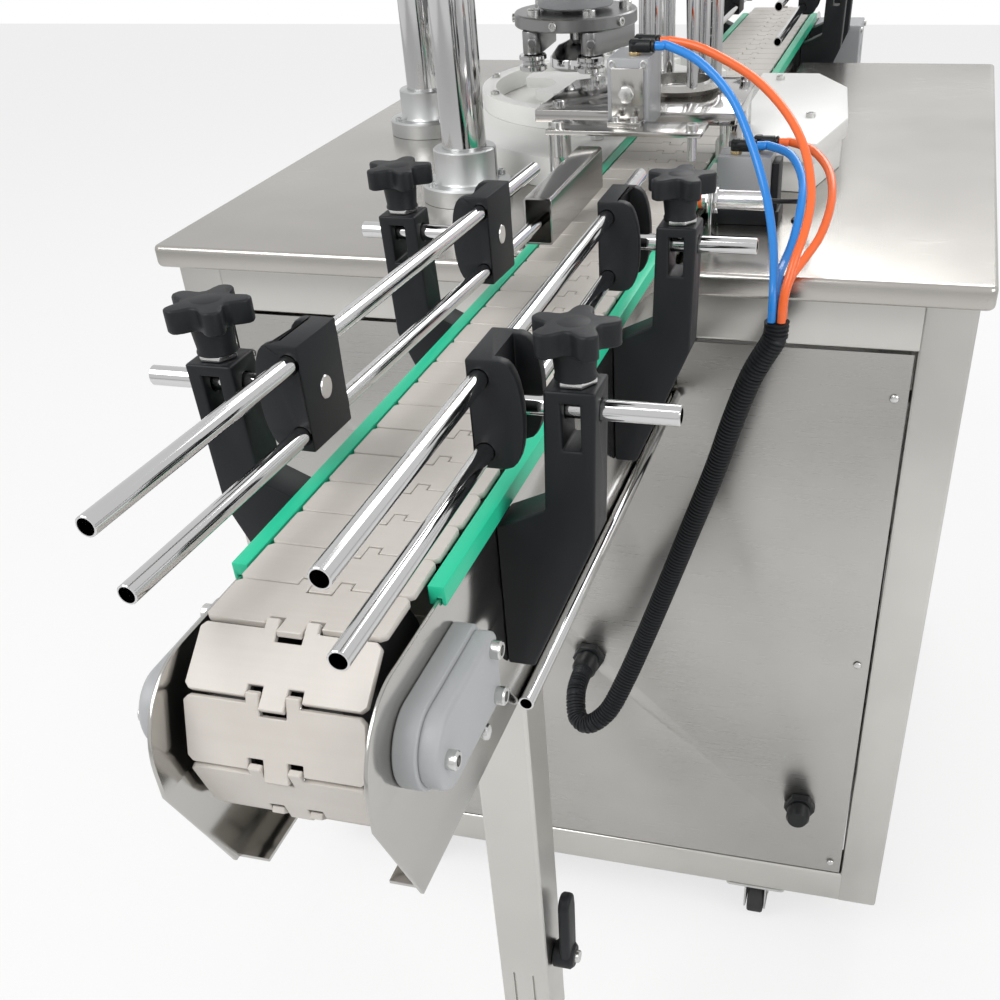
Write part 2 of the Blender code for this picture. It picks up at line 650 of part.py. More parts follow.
def leg():
    """Telescopic leg: slotted outer tube under a head plate, inner tube, levelling foot, clamp lever."""
    half = TUBE / 2
    top = SIDE_BOTTOM - GAP
    head = box((LANE_X - SIDE_INNER, LEG_Y - 0.045, top - 0.006), (LANE_X + SIDE_INNER, LEG_Y + 0.045, top))
    outer = rounded((LANE_X - half, LEG_Y - half), (LANE_X + half, LEG_Y + half), 0.003, 2)
    wall = half - LEG_TUBE_WALL
    bore = rounded((LANE_X - wall, LEG_Y - wall), (LANE_X + wall, LEG_Y + wall), 0.002, 1)
    tube_solid = sheet([outer, bore], LEG_LOWER_END, top - 0.006 + JOIN)
    slits = [box((LANE_X + offset - 0.0015, LEG_Y - half - 0.001, LEG_LOWER_END - 0.001),
                 (LANE_X + offset + 0.0015, LEG_Y - wall + 0.001, 0.340)) for offset in (-0.010, 0.010)]
    bolt_hole = rod((LANE_X + wall - 0.001, LEG_Y, LEVER_Z), (LANE_X + half + 0.001, LEG_Y, LEVER_Z), 0.0055, 12)
    node("leg_tube", "stainless", [head, cut(tube_solid, *slits, bolt_hole)])
    reach = LEG_INNER_HALF
    shell = rounded((LANE_X - reach, LEG_Y - reach), (LANE_X + reach, LEG_Y + reach), 0.002, 1)
    clear = reach - LEG_TUBE_WALL
    hollow = box((LANE_X - clear, LEG_Y - clear, 0.062), (LANE_X + clear, LEG_Y + clear, 0.425))
    inner_tube = cut(sheet([shell], 0.055, 0.420), hollow)
    foot = [(0.0, 0.058), (0.006, 0.058), (0.006, 0.016), (0.012, 0.012), (0.026, 0.006), (0.026, 0.0), (0.0, 0.0)]
    node("leg_inner_tube", "stainless", [
        inner_tube, turned(foot, (LANE_X, LEG_Y, 0), sides=16)], (LANE_X, LEG_Y, 0.055))
    hub_x = LANE_X + half + GAP
    hub = rod((hub_x, LEG_Y, LEVER_Z), (hub_x + 0.022, LEG_Y, LEVER_Z), 0.014, 12)
    arm = [(LEG_Y - 0.012, LEVER_Z), (LEG_Y + 0.012, LEVER_Z), (LEG_Y + 0.016, LEVER_Z + 0.060)]
    arm += arc((LEG_Y + 0.004, LEVER_Z + 0.070), 0.012, 0, 180, 5)
    handle = sheet([arm], hub_x + 0.008, hub_x + 0.020, "YZ")
    stud = rod((LANE_X + wall + 0.0003, LEG_Y, LEVER_Z), (hub_x + 0.002, LEG_Y, LEVER_Z), 0.005, 12)
    node("leg_clamp_lever", "black", [fused(hub, handle, stud)], (hub_x, LEG_Y, LEVER_Z))


# Can guides

def bracket(side, y):
    """Moulded bracket: foot on the side plate, raked underside, square column with bore, window and stud hole."""
    face = SIDE_INNER + SIDE_SHEET + GAP
    outline = [(face, CHAIN_TOP - 0.016), (COLUMN_IN - 0.003, CHAIN_TOP - 0.002), (COLUMN_IN, COLUMN_TOP),
               (COLUMN_OUT, COLUMN_TOP), (COLUMN_OUT - 0.003, CHAIN_TOP - 0.020), (face + 0.018, CHAIN_TOP - 0.117),
               (face, CHAIN_TOP - 0.117)]
    outline = [(LANE_X + side * across, along) for across, along in outline]
    body = sheet([outline], y - COLUMN_DEPTH / 2, y + COLUMN_DEPTH / 2, "XZ")
    middle = LANE_X + side * (COLUMN_IN + COLUMN_OUT) / 2
    bore = rod((middle - 0.030, y, ROD_Z), (middle + 0.030, y, ROD_Z), ROD_RADIUS + GAP, 12)
    window = box((middle - 0.0055, y - 0.020, ROD_Z - 0.020), (middle + 0.0055, y + 0.020, ROD_Z + 0.008))
    stud_hole = rod((middle, y, ROD_Z), (middle, y, COLUMN_TOP + 0.010), STUD_RADIUS + GAP, 12)
    return cut(body, bore, window, stud_hole)


STUD_RADIUS = 0.004
KNOB_STEM = 0.012
KNOB_RADIUS = 0.026
KNOB_LOBES = 5
KNOB_TOP = CHAIN_TOP + 0.106


def knob_outline(centre):
    """Star of five round lobes."""
    points = []
    for step in range(KNOB_LOBES * 4):
        turn = math.radians(90 + 360 * step / (KNOB_LOBES * 4))
        wave = math.cos(KNOB_LOBES * (turn - math.pi / 2))
        radius = KNOB_RADIUS * (0.80 + 0.20 * max(-1.0, min(1.0, 1.35 * wave)))
        points.append((centre[0] + radius * math.cos(turn), centre[1] + radius * math.sin(turn)))
    return points


def star_knob(side, y):
    middle = LANE_X + side * (COLUMN_IN + COLUMN_OUT) / 2
    seat = COLUMN_TOP + GAP
    profile = [(0.0, KNOB_TOP - 0.004), (KNOB_STEM, KNOB_TOP - 0.004), (KNOB_STEM * 0.88, seat + 0.0018),
               (0.0125, seat + 0.0015), (0.0125, seat), (STUD_RADIUS, seat), (STUD_RADIUS, ROD_Z + ROD_RADIUS + GAP),
               (0.0, ROD_Z + ROD_RADIUS + GAP)]
    stem = turned(profile, (middle, y, 0), sides=12)
    star = sheet([knob_outline((middle, y))], KNOB_TOP - 0.014, KNOB_TOP)
    return fused(stem, star)


def clamp_head(side, distance, y, lean):
    """C-shaped rail clamp: wall that holds both rails, two D-shaped cheeks outwards."""
    wall_in, wall_out, cheek_out = distance - 0.0045, distance + 0.008, distance + 0.024
    low, high = CHAIN_TOP + 0.027, CHAIN_TOP + 0.091
    outline = [(wall_in, low), (wall_out, low), (cheek_out - 0.002, low + 0.012), (cheek_out, low + 0.022),
               (cheek_out, high - 0.022), (cheek_out - 0.002, high - 0.012), (wall_out, high), (wall_in, high)]
    outline = [(LANE_X + side * across, along) for across, along in outline]
    body = sheet([outline], y - HEAD_LENGTH / 2, y + HEAD_LENGTH / 2, "XZ")
    pocket_x = sorted((LANE_X + side * wall_out, LANE_X + side * (cheek_out + 0.002)))
    pocket = box((pocket_x[0], y - HEAD_LENGTH / 2 + 0.008, low - 0.001),
                 (pocket_x[1], y + HEAD_LENGTH / 2 - 0.008, high + 0.001))
    return turned_about(cut(body, pocket), (LANE_X + side * distance, y, 0), "Z", lean)


def locked_bracket(side, y):
    """Bracket whose knob screw is tight on the cross rod, so that it holds the guide as it is set."""
    middle = LANE_X + side * (COLUMN_IN + COLUMN_OUT) / 2
    screw = rod((middle, y, ROD_Z), (middle, y, COLUMN_TOP + 0.004), STUD_RADIUS - 0.001, 12)
    washer = rod((middle, y, COLUMN_TOP - JOIN), (middle, y, COLUMN_TOP + JOIN), 0.0115, 12)
    return [bracket(side, y), screw, washer, star_knob(side, y)]


def guide_side(name, side, ys, near, far, rail_ends, fixed=()):
    """One side's rails, clamp heads and cross rods; distances run straight from the near to the far rail end."""
    def distance(y):
        share = (y - rail_ends[0]) / (rail_ends[1] - rail_ends[0])
        return near + (far - near) * share
    lean = math.degrees(math.atan2(-side * (far - near), rail_ends[1] - rail_ends[0]))
    solids = [clamp_head(side, distance(y), y, lean) for y in ys]
    bores = []
    for height, trims in zip(RAIL_HEIGHTS, RAIL_TRIMS[name]):
        start, end = [Vector((LANE_X + side * distance(y), y, CHAIN_TOP + height)) for y in trims]
        solids.append(rod(start, end, RAIL_RADIUS, 12))
        beyond = (end - start).normalized() * JOIN
        bores.append(rod(start - beyond, end + beyond, RAIL_RADIUS - RAIL_WALL, 12))
    for y in ys:
        inner, outer = distance(y) - 0.0035, distance(y) + ROD_OUTREACH
        solids.append(rod((LANE_X + side * inner, y, ROD_Z), (LANE_X + side * outer, y, ROD_Z), ROD_RADIUS, 12))
    node(name, "chrome", [cut(fused(*solids), *bores), *fixed])


ROD_OUTREACH = 0.108
RAIL_TRIMS = {
    "infeed_guide_left": ((-1.031, -0.425), (-1.020, -0.405)),
    "infeed_guide_right": ((-1.050, -0.434), (-1.0485, -0.436)),
    "outfeed_guide_left": ((0.480, 1.050), (0.490, 1.0495)),
    "outfeed_guide_right": ((0.400, 1.050), (0.410, 1.0495)),
}


def guides():
    """Infeed guides, whose sides slide apart, and the outfeed guides, which stay as they are set."""
    for word, side in (("left", -1), ("right", 1)):
        middle = LANE_X + side * (COLUMN_IN + COLUMN_OUT) / 2
        for spot, y in zip(("near", "far"), INFEED_BRACKETS):
            node("infeed_bracket_{}_{}".format(spot, word), "black", [bracket(side, y)])
            node("knob_{}_{}".format(spot, word), "black", [star_knob(side, y)], (middle, y, COLUMN_TOP))
    guide_side("infeed_guide_left", -1, INFEED_BRACKETS, LEFT_RAIL_NEAR, LEFT_RAIL_FAR, (-1.031, -0.420))
    guide_side("infeed_guide_right", 1, INFEED_BRACKETS, RIGHT_RAIL_NEAR, RIGHT_RAIL_FAR, (-1.050, -0.434))
    for name, side, distance, ends in (("outfeed_guide_left", -1, 0.045, (0.480, 1.050)),
                                       ("outfeed_guide_right", 1, 0.060, (0.400, 1.050))):
        fixed = [solid for y in OUTFEED_BRACKETS for solid in locked_bracket(side, y)]
        guide_side(name, side, OUTFEED_BRACKETS, distance, distance, ends, fixed)


BOX_RAIL_X, BOX_RAIL_Z = -0.033, 0.037
BOX_RAIL_ENDS = (-0.420, -0.245)
BOX_BRACKET_ENDS = (-0.300, -0.260)


def box_rail():
    """Rectangular tube that takes over from the left rails, with its folded bracket on the table."""
    x, z = LANE_X + BOX_RAIL_X, CHAIN_TOP + BOX_RAIL_Z
    outer = rounded((x - 0.0125, z - 0.019), (x + 0.0125, z + 0.019), 0.003, 2)
    bore = rounded((x - 0.0107, z - 0.0172), (x + 0.0107, z + 0.0172), 0.0015, 1)
    rail = sheet([outer, bore], *BOX_RAIL_ENDS, "XZ")
    wall = 0.003
    foot, riser, seat = TABLE_TOP + GAP, LANE_X - 0.078, x - 0.0125 + JOIN
    level = CHAIN_TOP + 0.004
    outline = [(riser - 0.040, foot), (riser + wall, foot), (riser + wall, level), (seat, level),
               (seat, level + 0.036), (seat - wall, level + 0.036), (seat - wall, level + wall),
               (riser, level + wall), (riser, foot + wall), (riser - 0.040, foot + wall)]
    node("box_rail", "polished", [rail, sheet([outline], *BOX_BRACKET_ENDS, "XZ")])


# Table devices

RING_INNER = POCKET_CIRCLE + CAN_RADIUS + CAN_CLEARANCE
RING_WALL = 0.018
RING_TOP = CHAIN_TOP + 0.022
RING_OPENING = 57
WEAR_EDGE = 0.0012
LIFT_RADIUS = 0.030


def wear_plates():
    """White plate under the star wheel with its curved can guide, and the guide block across the lane."""
    outline = [(WEAR_EDGE, -0.095), (-0.085, -0.057), (-0.140, -0.023), (-0.190, 0.030), (-0.236, 0.110),
               (-0.236, 0.300), (-0.200, 0.395), (-0.110, 0.428), (WEAR_EDGE, 0.428)]
    holes = [circle((STAR_X, STAR_Y), STAR_SHAFT + 0.002), circle((HEAD_X, HEAD_Y), LIFT_RADIUS + 0.0005, 16)]
    plate = sheet([outline] + holes, TABLE_TOP + GAP, WEAR_TOP)
    ring = arc((STAR_X, STAR_Y), RING_INNER + RING_WALL, RING_OPENING, 360 - RING_OPENING, 18)
    ring += list(reversed(arc((STAR_X, STAR_Y), RING_INNER, RING_OPENING, 360 - RING_OPENING, 18)))
    guide = sheet([ring], CHAIN_TOP + GAP, RING_TOP)
    bolts = [rod((*place, CHAIN_TOP - 0.012), (*place, RING_TOP + 0.002), 0.005, 8)
             for place in arc((STAR_X, STAR_Y), RING_INNER + RING_WALL / 2, 110, 250, 4)]
    node("wear_plate", "white", [plate, guide] + bolts)
    lane_edge = STAR_X + RING_INNER + CAN_CLEARANCE
    outer = LANE_X + SLOT_HALF + 0.004
    base = [(outer, -0.040), (0.225, -0.050), (0.247, 0.060), (0.232, 0.215), (0.190, 0.290), (outer, 0.290)]
    cap = [(lane_edge, -0.055), (0.230, -0.060), (0.252, 0.060), (0.237, 0.220), (0.195, 0.300), (lane_edge, 0.300)]
    block = sheet([base], TABLE_TOP + GAP, CHAIN_TOP + 0.005)
    top = sheet([cap], CHAIN_TOP + GAP, GUIDE_BLOCK_TOP)
    node("guide_block", "white", [block, top])


GUIDE_BLOCK_TOP = CHAIN_TOP + 0.020


def star_outline():
    """Wheel edge with a round can pocket at each division, the first facing the conveyor."""
    radius = CAN_RADIUS + CAN_CLEARANCE
    half = math.degrees(2 * math.asin(radius / (2 * POCKET_CIRCLE)))
    swing = math.degrees(math.acos(radius / (2 * POCKET_CIRCLE)))
    division = 360 / STAR_POCKETS
    points = []
    for pocket in range(STAR_POCKETS):
        turn = pocket * division
        centre = (STAR_X + POCKET_CIRCLE * math.cos(math.radians(turn)),
                  STAR_Y + POCKET_CIRCLE * math.sin(math.radians(turn)))
        points += arc(centre, radius, turn + 180 + swing, turn + 180 - swing, 6)
        points += arc((STAR_X, STAR_Y), POCKET_CIRCLE, turn + half, turn + division - half, 3)[1:-1]
    return points


def star_wheel():
    """Pocketed wheel, its clamp hub and the shaft through the table; gearbox and motor hang below."""
    wheel = sheet([star_outline()], STAR_BOTTOM, STAR_TOP)
    hub = rod((STAR_X, STAR_Y, STAR_TOP - 0.001), (STAR_X, STAR_Y, STAR_TOP + 0.012), 0.030, 16)
    below = TABLE_TOP - TABLE_THICKNESS - GAP
    shaft = rod((STAR_X, STAR_Y, below - 0.060), (STAR_X, STAR_Y, STAR_BOTTOM + 0.001), STAR_SHAFT, 12)
    boss = rod((STAR_X, STAR_Y, WEAR_TOP + GAP), (STAR_X, STAR_Y, STAR_BOTTOM + 0.001), 0.024, 16)
    node("star_wheel", "white", [fused(wheel, hub, boss, shaft)], (STAR_X, STAR_Y, STAR_BOTTOM))


LIFT_STROKE = 0.012


def lift_disc():
    disc = rod((HEAD_X, HEAD_Y, WEAR_TOP - 0.010), (HEAD_X, HEAD_Y, WEAR_TOP), LIFT_RADIUS, 16)
    below = TABLE_TOP - TABLE_THICKNESS - GAP
    shaft = rod((HEAD_X, HEAD_Y, below - 0.055), (HEAD_X, HEAD_Y, WEAR_TOP - 0.009), LIFT_SHAFT, 12)
    node("lift_disc", "chrome", [fused(disc, shaft)], (HEAD_X, HEAD_Y, WEAR_TOP))


MAGAZINE_RODS = 6
MAGAZINE_ROD = 0.006
MAGAZINE_HEIGHT = 0.240
LID_POST_RADIUS = 0.012


def lid_plate():
    """Lid plate on four posts, and the magazine of upright rods between two rings over its hole."""
    bottom = LID_PLATE_TOP - LID_PLATE_THICKNESS
    outline = [(-0.057, LID_PLATE_FRONT), (0.153, LID_PLATE_FRONT), (0.153, 0.045), (-0.020, 0.045),
               (-0.028, 0.038), (-0.053, 0.020)]
    hole = circle((LID_HOLE_X, LID_HOLE_Y), LID_HOLE_RADIUS, 16)
    solids = [sheet([outline, hole], bottom, LID_PLATE_TOP)]
    table, plate, block = TABLE_TOP + GAP, WEAR_TOP + GAP, GUIDE_BLOCK_TOP + GAP
    for x, y, foot in ((-0.037, -0.108, table), (0.1465, -0.108, table), (-0.030, 0.022, plate), (0.1395, 0.025, block)):
        radius = LID_POST_RADIUS if foot == table else 0.008
        solids.append(rod((x, y, foot), (x, y, bottom + JOIN), radius, 12))
    ring_low = LID_PLATE_TOP - JOIN
    rod_circle = LID_HOLE_RADIUS + 0.001 + MAGAZINE_ROD
    for low in (ring_low, ring_low + 0.010 + MAGAZINE_HEIGHT):
        solids.append(tube((LID_HOLE_X, LID_HOLE_Y, low), (LID_HOLE_X, LID_HOLE_Y, low + 0.010),
                           rod_circle + MAGAZINE_ROD + 0.002, LID_HOLE_RADIUS + 0.0005, 24))
    for step in range(MAGAZINE_RODS):
        turn = 2 * math.pi * step / MAGAZINE_RODS
        x, y = LID_HOLE_X + rod_circle * math.cos(turn), LID_HOLE_Y + rod_circle * math.sin(turn)
        low = ring_low + 0.010 - JOIN
        solids.append(rod((x, y, low), (x, y, low + MAGAZINE_HEIGHT + 2 * JOIN), MAGAZINE_ROD, 8))
    low, high = LID_CYLINDER
    x = (low[0] + high[0]) / 2
    bore = rod((x, low[1] - 0.001, LID_ROD_Z), (x, low[1] + 0.044, LID_ROD_Z), PISTON_RADIUS + GAP)
    solids.append(cut(box(low, high), bore))
    solids += [elbow_fitting(*spot, high[2]) for spot in LID_FITTINGS]
    node("lid_plate", "polished", solids)


LID_PLATE_FRONT = -0.129
LID_CYLINDER = ((0.036, -0.187, 0.998), (0.077, LID_PLATE_FRONT + JOIN, 1.060))
LID_ROD_Z = 1.030
PISTON_RADIUS = 0.005
STOP_CYLINDER = ((0.143, -0.172, 0.922), (0.197, -0.132, 0.972))
STOP_ROD_Z = 0.950
LID_FITTINGS = ((0.060, -0.172), (0.060, -0.148))
STOP_FITTINGS = ((0.160, -0.160), (0.180, -0.144))
FITTING_RISE = 0.008
FITTING_REACH = 0.020


def elbow_fitting(x, y, base):
    """Push-in elbow: threaded riser and a barrel that takes the air tube on its +X end."""
    level = base + FITTING_RISE
    riser = rod((x, y, base - JOIN), (x, y, level), 0.0045, 10)
    barrel = rod((x - 0.005, y, level), (x + FITTING_REACH, y, level), 0.0060, 12)
    return fused(riser, barrel)


def stop_cylinder():
    """Compact cylinder of the can stop on its foot, with its two fittings."""
    low, high = STOP_CYLINDER
    y = (low[1] + high[1]) / 2
    bore = rod((low[0] - 0.001, y, STOP_ROD_Z), (low[0] + 0.040, y, STOP_ROD_Z), PISTON_RADIUS + GAP)
    foot = box((low[0] + 0.002, low[1], TABLE_TOP + GAP), (high[0] + 0.010, high[1], low[2] + JOIN))
    fittings = [elbow_fitting(*spot, high[2]) for spot in STOP_FITTINGS]
    node("stop_cylinder", "cast", [cut(box(low, high), bore), foot] + fittings)


DRIVE_PLATE = 0.010
LIFTER_RADIUS = 0.032


def star_drive():
    """Plate under the table with the star wheel's gearbox and motor and the can lifter's cylinder."""
    top = TABLE_TOP - TABLE_THICKNESS - GAP
    seat = top - DRIVE_PLATE
    half = 0.045
    bores = [circle((STAR_X, STAR_Y), STAR_SHAFT + 0.001), circle((HEAD_X, HEAD_Y), LIFT_SHAFT + 0.0005)]
    plate_outline = rounded((HEAD_X - 0.040, HEAD_Y - 0.040), (STAR_X + half, STAR_Y + half), 0.006, 2)
    gearbox = rounded((STAR_X - half, STAR_Y - half), (STAR_X + half, STAR_Y + half), 0.008, 2)
    node("star_drive", "cast", [
        sheet([plate_outline] + bores, seat, top),
        sheet([gearbox, bores[0]], seat - 0.090, seat + JOIN),
        rod((STAR_X, STAR_Y, seat - 0.250), (STAR_X, STAR_Y, seat - 0.090 + JOIN), 0.038, 16),
        sheet([circle((HEAD_X, HEAD_Y), LIFTER_RADIUS), bores[1]], seat - 0.080, seat + JOIN)])


YOKE_STROKE = 0.030
STOP_STROKE = 0.020


def lid_yoke():
    """Piston rod, angle bracket and cross bar with its two end bolts, pushed by the lid cylinder."""
    low, high = LID_CYLINDER
    x = (low[0] + high[0]) / 2
    face = low[1] - 0.0005
    piston = rod((x, low[1] + 0.037, LID_ROD_Z), (x, face - 0.002, LID_ROD_Z), PISTON_RADIUS, 12)
    upright = box((x - 0.016, face - 0.003, LID_PLATE_TOP + 0.003), (x + 0.016, face, 1.052))
    foot = box((x - 0.016, face - 0.022, LID_PLATE_TOP + 0.004), (x + 0.016, face - 0.001, LID_PLATE_TOP + 0.007))
    bar = box((-0.015, face - 0.046, LID_PLATE_TOP), (0.137, face - 0.002, LID_PLATE_TOP + 0.0045))
    bolts = [rod((end, face - 0.036, LID_PLATE_TOP - 0.022), (end, face - 0.036, LID_PLATE_TOP + 0.011), 0.0045, 8)
             for end in (-0.005, 0.127)]
    nut = rod((x, face - 0.009, LID_ROD_Z), (x, face - 0.002, LID_ROD_Z), 0.008, 6)
    node("lid_yoke", "polished", [fused(bar, foot, upright, piston, nut, *bolts)], (x, face, LID_ROD_Z))


def can_stop():
    low, high = STOP_CYLINDER
    y = (low[1] + high[1]) / 2
    piston = rod((low[0] + 0.034, y, STOP_ROD_Z), (low[0] - 0.002, y, STOP_ROD_Z), PISTON_RADIUS, 12)
    pad = box((low[0] - 0.0085, y - 0.013, CHAIN_TOP + 0.0012), (low[0] - 0.0005, y + 0.013, CHAIN_TOP + 0.018))
    node("can_stop", "white", [fused(pad, piston)], (low[0], y, STOP_ROD_Z))


SENSOR_Y, SENSOR_Z = -0.237, 0.950
SENSOR_ENDS = (0.1375, 0.205)
SENSOR_RADIUS = 0.009
SENSOR_PLATE = (0.150, 0.153)


def can_sensor():
    """Threaded barrel sensor with its two nuts, and the angle that holds it on the table."""
    radius, nut = SENSOR_RADIUS, 0.0125
    low, high = SENSOR_PLATE
    span = SENSOR_ENDS[1] - SENSOR_ENDS[0]
    marks = [mark - SENSOR_ENDS[0] for mark in (high + 0.004, high - 0.0005, low + 0.0005, low - 0.004)]
    profile = [(0.0, span), (radius - 0.002, span), (radius, span - 0.004), (radius, marks[0]), (nut, marks[0]),
               (nut, marks[1]), (radius, marks[1]), (radius, marks[2]), (nut, marks[2]), (nut, marks[3]),
               (radius, marks[3]), (radius, 0.0), (0.0, 0.0)]
    barrel = turned(profile, (SENSOR_ENDS[0], SENSOR_Y, SENSOR_Z), (1, 0, 0), 12)
    plate = [(SENSOR_Y - 0.018, TABLE_TOP + GAP), (SENSOR_Y + 0.018, TABLE_TOP + GAP),
             (SENSOR_Y + 0.018, SENSOR_Z + 0.016), (SENSOR_Y - 0.018, SENSOR_Z + 0.016)]
    upright = sheet([plate], low, high, "YZ")
    foot = box((low + 0.001, SENSOR_Y - 0.018, TABLE_TOP + GAP), (0.190, SENSOR_Y + 0.018, TABLE_TOP + GAP + 0.003))
    node("can_sensor", "chrome", [upright, foot, barrel])


CONDUIT_RADIUS = 0.0115


# Seaming head

def head_outline(margin, head_margin):
    """Plate outline round the three pillars and the spindle."""
    first, second, third = PILLARS
    return (arc(first, margin, 208, 335, 6) + arc((HEAD_X, HEAD_Y), head_margin, 336, 361, 3)
            + arc(third, margin, 2, 140, 6) + arc(second, margin, 141, 208, 4))


FLANGE_HEIGHT = 0.052
PILLAR_FIT = 0.0005


def head_frame():
    """Three pillars with foot flanges, joined at the top by the plate that carries the height screw."""
    foot = TABLE_TOP + GAP
    top = TOP_PLATE_BOTTOM
    holes = [circle((SCREW_X, SCREW_Y), SCREW_RADIUS + 0.001)]
    solids = [sheet([head_outline(0.060, 0.090)] + holes, top, top + PLATE_THICKNESS)]
    for x, y in PILLARS:
        profile = [(0.0, top + JOIN), (PILLAR_RADIUS, top + JOIN), (PILLAR_RADIUS, foot + FLANGE_HEIGHT),
                   (0.0345, foot + FLANGE_HEIGHT), (0.0345, foot + 0.020), (0.050, foot + 0.018), (0.050, foot),
                   (0.0, foot)]
        solids.append(turned(profile, (x, y, 0), sides=16))
    node("head_frame", "chrome", solids)


SPINDLE_RADIUS = 0.016
SPINDLE_BORE = 0.0085
CHUCK_ROD = 0.008
CLAMP_DEPTH = 0.035


def head_carriage():
    """Sliding plate with split clamps, the screw's nut, the spindle housing, the motor and the still chuck."""
    solids = [sheet([head_outline(0.060, 0.090)], CARRIAGE_BOTTOM, CARRIAGE_BOTTOM + PLATE_THICKNESS)]
    seat = CARRIAGE_BOTTOM + JOIN
    solids += [rod((x, y, seat - CLAMP_DEPTH), (x, y, seat), 0.042, 16) for x, y in PILLARS]
    solids.append(rod((SCREW_X, SCREW_Y, seat - 0.040), (SCREW_X, SCREW_Y, seat), 0.022, 12))
    solids += [spindle_housing(), *seaming_motor()]
    low, high = CARRIAGE_BOTTOM - 0.060, CARRIAGE_BOTTOM + PLATE_THICKNESS + 0.002
    bores = [rod((x, y, low), (x, y, high), PILLAR_RADIUS + PILLAR_FIT, 16) for x, y in PILLARS]
    bores.append(rod((SCREW_X, SCREW_Y, low), (SCREW_X, SCREW_Y, high), SCREW_RADIUS + PILLAR_FIT, 12))
    bores.append(rod((HEAD_X, HEAD_Y, HOUSING_BOTTOM - 0.001), (HEAD_X, HEAD_Y, SPINDLE_TOP + 0.001),
                     SPINDLE_RADIUS + PILLAR_FIT, 16))
    node("head_carriage", "stainless", [cut(fused(*solids), *bores), seaming_chuck()], (SCREW_X, SCREW_Y, CARRIAGE_BOTTOM))


SPINDLE_TOP = CARRIAGE_BOTTOM + PLATE_THICKNESS - 0.004
ROTOR_BOTTOM = CHAIN_TOP + 0.104
ROTOR_THICKNESS = 0.014
ROTOR_RADIUS = 0.072
HOUSING_BOTTOM = ROTOR_BOTTOM + ROTOR_THICKNESS + 0.004


def spindle_housing():
    top = CARRIAGE_BOTTOM + JOIN
    profile = [(0.0, top), (0.068, top), (0.068, top - 0.016), (0.052, top - 0.022), (0.052, HOUSING_BOTTOM + 0.030),
               (0.044, HOUSING_BOTTOM + 0.020), (0.044, HOUSING_BOTTOM), (0.0, HOUSING_BOTTOM)]
    return turned(profile, (HEAD_X, HEAD_Y, 0), sides=20)


MOTOR_HEIGHT = 0.230


def seaming_motor():
    """Finned motor with its square flange and fan cowl on top of the carriage."""
    base = CARRIAGE_BOTTOM + PLATE_THICKNESS - JOIN
    flange = sheet([rounded((HEAD_X - 0.062, HEAD_Y - 0.062), (HEAD_X + 0.062, HEAD_Y + 0.062), 0.012)], base, base + 0.014)
    profile = [(0.0, base + MOTOR_HEIGHT), (0.050, base + MOTOR_HEIGHT), (0.058, base + MOTOR_HEIGHT - 0.008),
               (0.058, base + MOTOR_HEIGHT - 0.040)]
    for step in range(2):
        level = base + MOTOR_HEIGHT - 0.046 - step * 0.060
        profile += [(0.054, level), (0.058, level - 0.003), (0.058, level - 0.015), (0.054, level - 0.018)]
    profile += [(0.050, base + 0.014 - 0.001), (0.0, base + 0.014 - 0.001)]
    return flange, turned(profile, (HEAD_X, HEAD_Y, 0), sides=16)


ARM_PIVOT = 0.055
ARM_TOP = ROTOR_BOTTOM - GAP
ARM_BOTTOM = CHAIN_TOP + 0.080
ROLLER_CIRCLE = 0.062
ROLLER_RADIUS = 0.016
ROLLER_TOP = ARM_BOTTOM - GAP
ROLLER_BOTTOM = CHAIN_TOP + 0.063
ARM_TURNS = {"first": (229, 150), "second": (300, 18)}


def around_head(radius, degrees):
    turn = math.radians(degrees)
    return (HEAD_X + radius * math.cos(turn), HEAD_Y + radius * math.sin(turn))


def seaming_rotor():
    """Hollow spindle and its disc, which carry the arm pivots and balance weight."""
    disc_top = ROTOR_BOTTOM + ROTOR_THICKNESS
    profile = [(SPINDLE_RADIUS, SPINDLE_TOP), (SPINDLE_RADIUS, disc_top), (ROTOR_RADIUS - 0.002, disc_top),
               (ROTOR_RADIUS, disc_top - 0.002), (ROTOR_RADIUS, ROTOR_BOTTOM), (SPINDLE_BORE, ROTOR_BOTTOM),
               (SPINDLE_BORE, SPINDLE_TOP)]
    spindle = turned(profile, (HEAD_X, HEAD_Y, 0), sides=24, ring=True)
    pins = []
    for _, pivot_turn in ARM_TURNS.values():
        x, y = around_head(ARM_PIVOT, pivot_turn)
        pins.append(rod((x, y, ARM_BOTTOM + 0.001), (x, y, ROTOR_BOTTOM + 0.001), 0.005, 12))
    weight_x, weight_y = around_head(0.052, 84)
    weight = rod((weight_x, weight_y, ROTOR_BOTTOM - 0.018), (weight_x, weight_y, ROTOR_BOTTOM + 0.001), 0.014, 12)
    node("seaming_rotor", "black", [spindle, weight] + pins, (HEAD_X, HEAD_Y, ROTOR_BOTTOM))


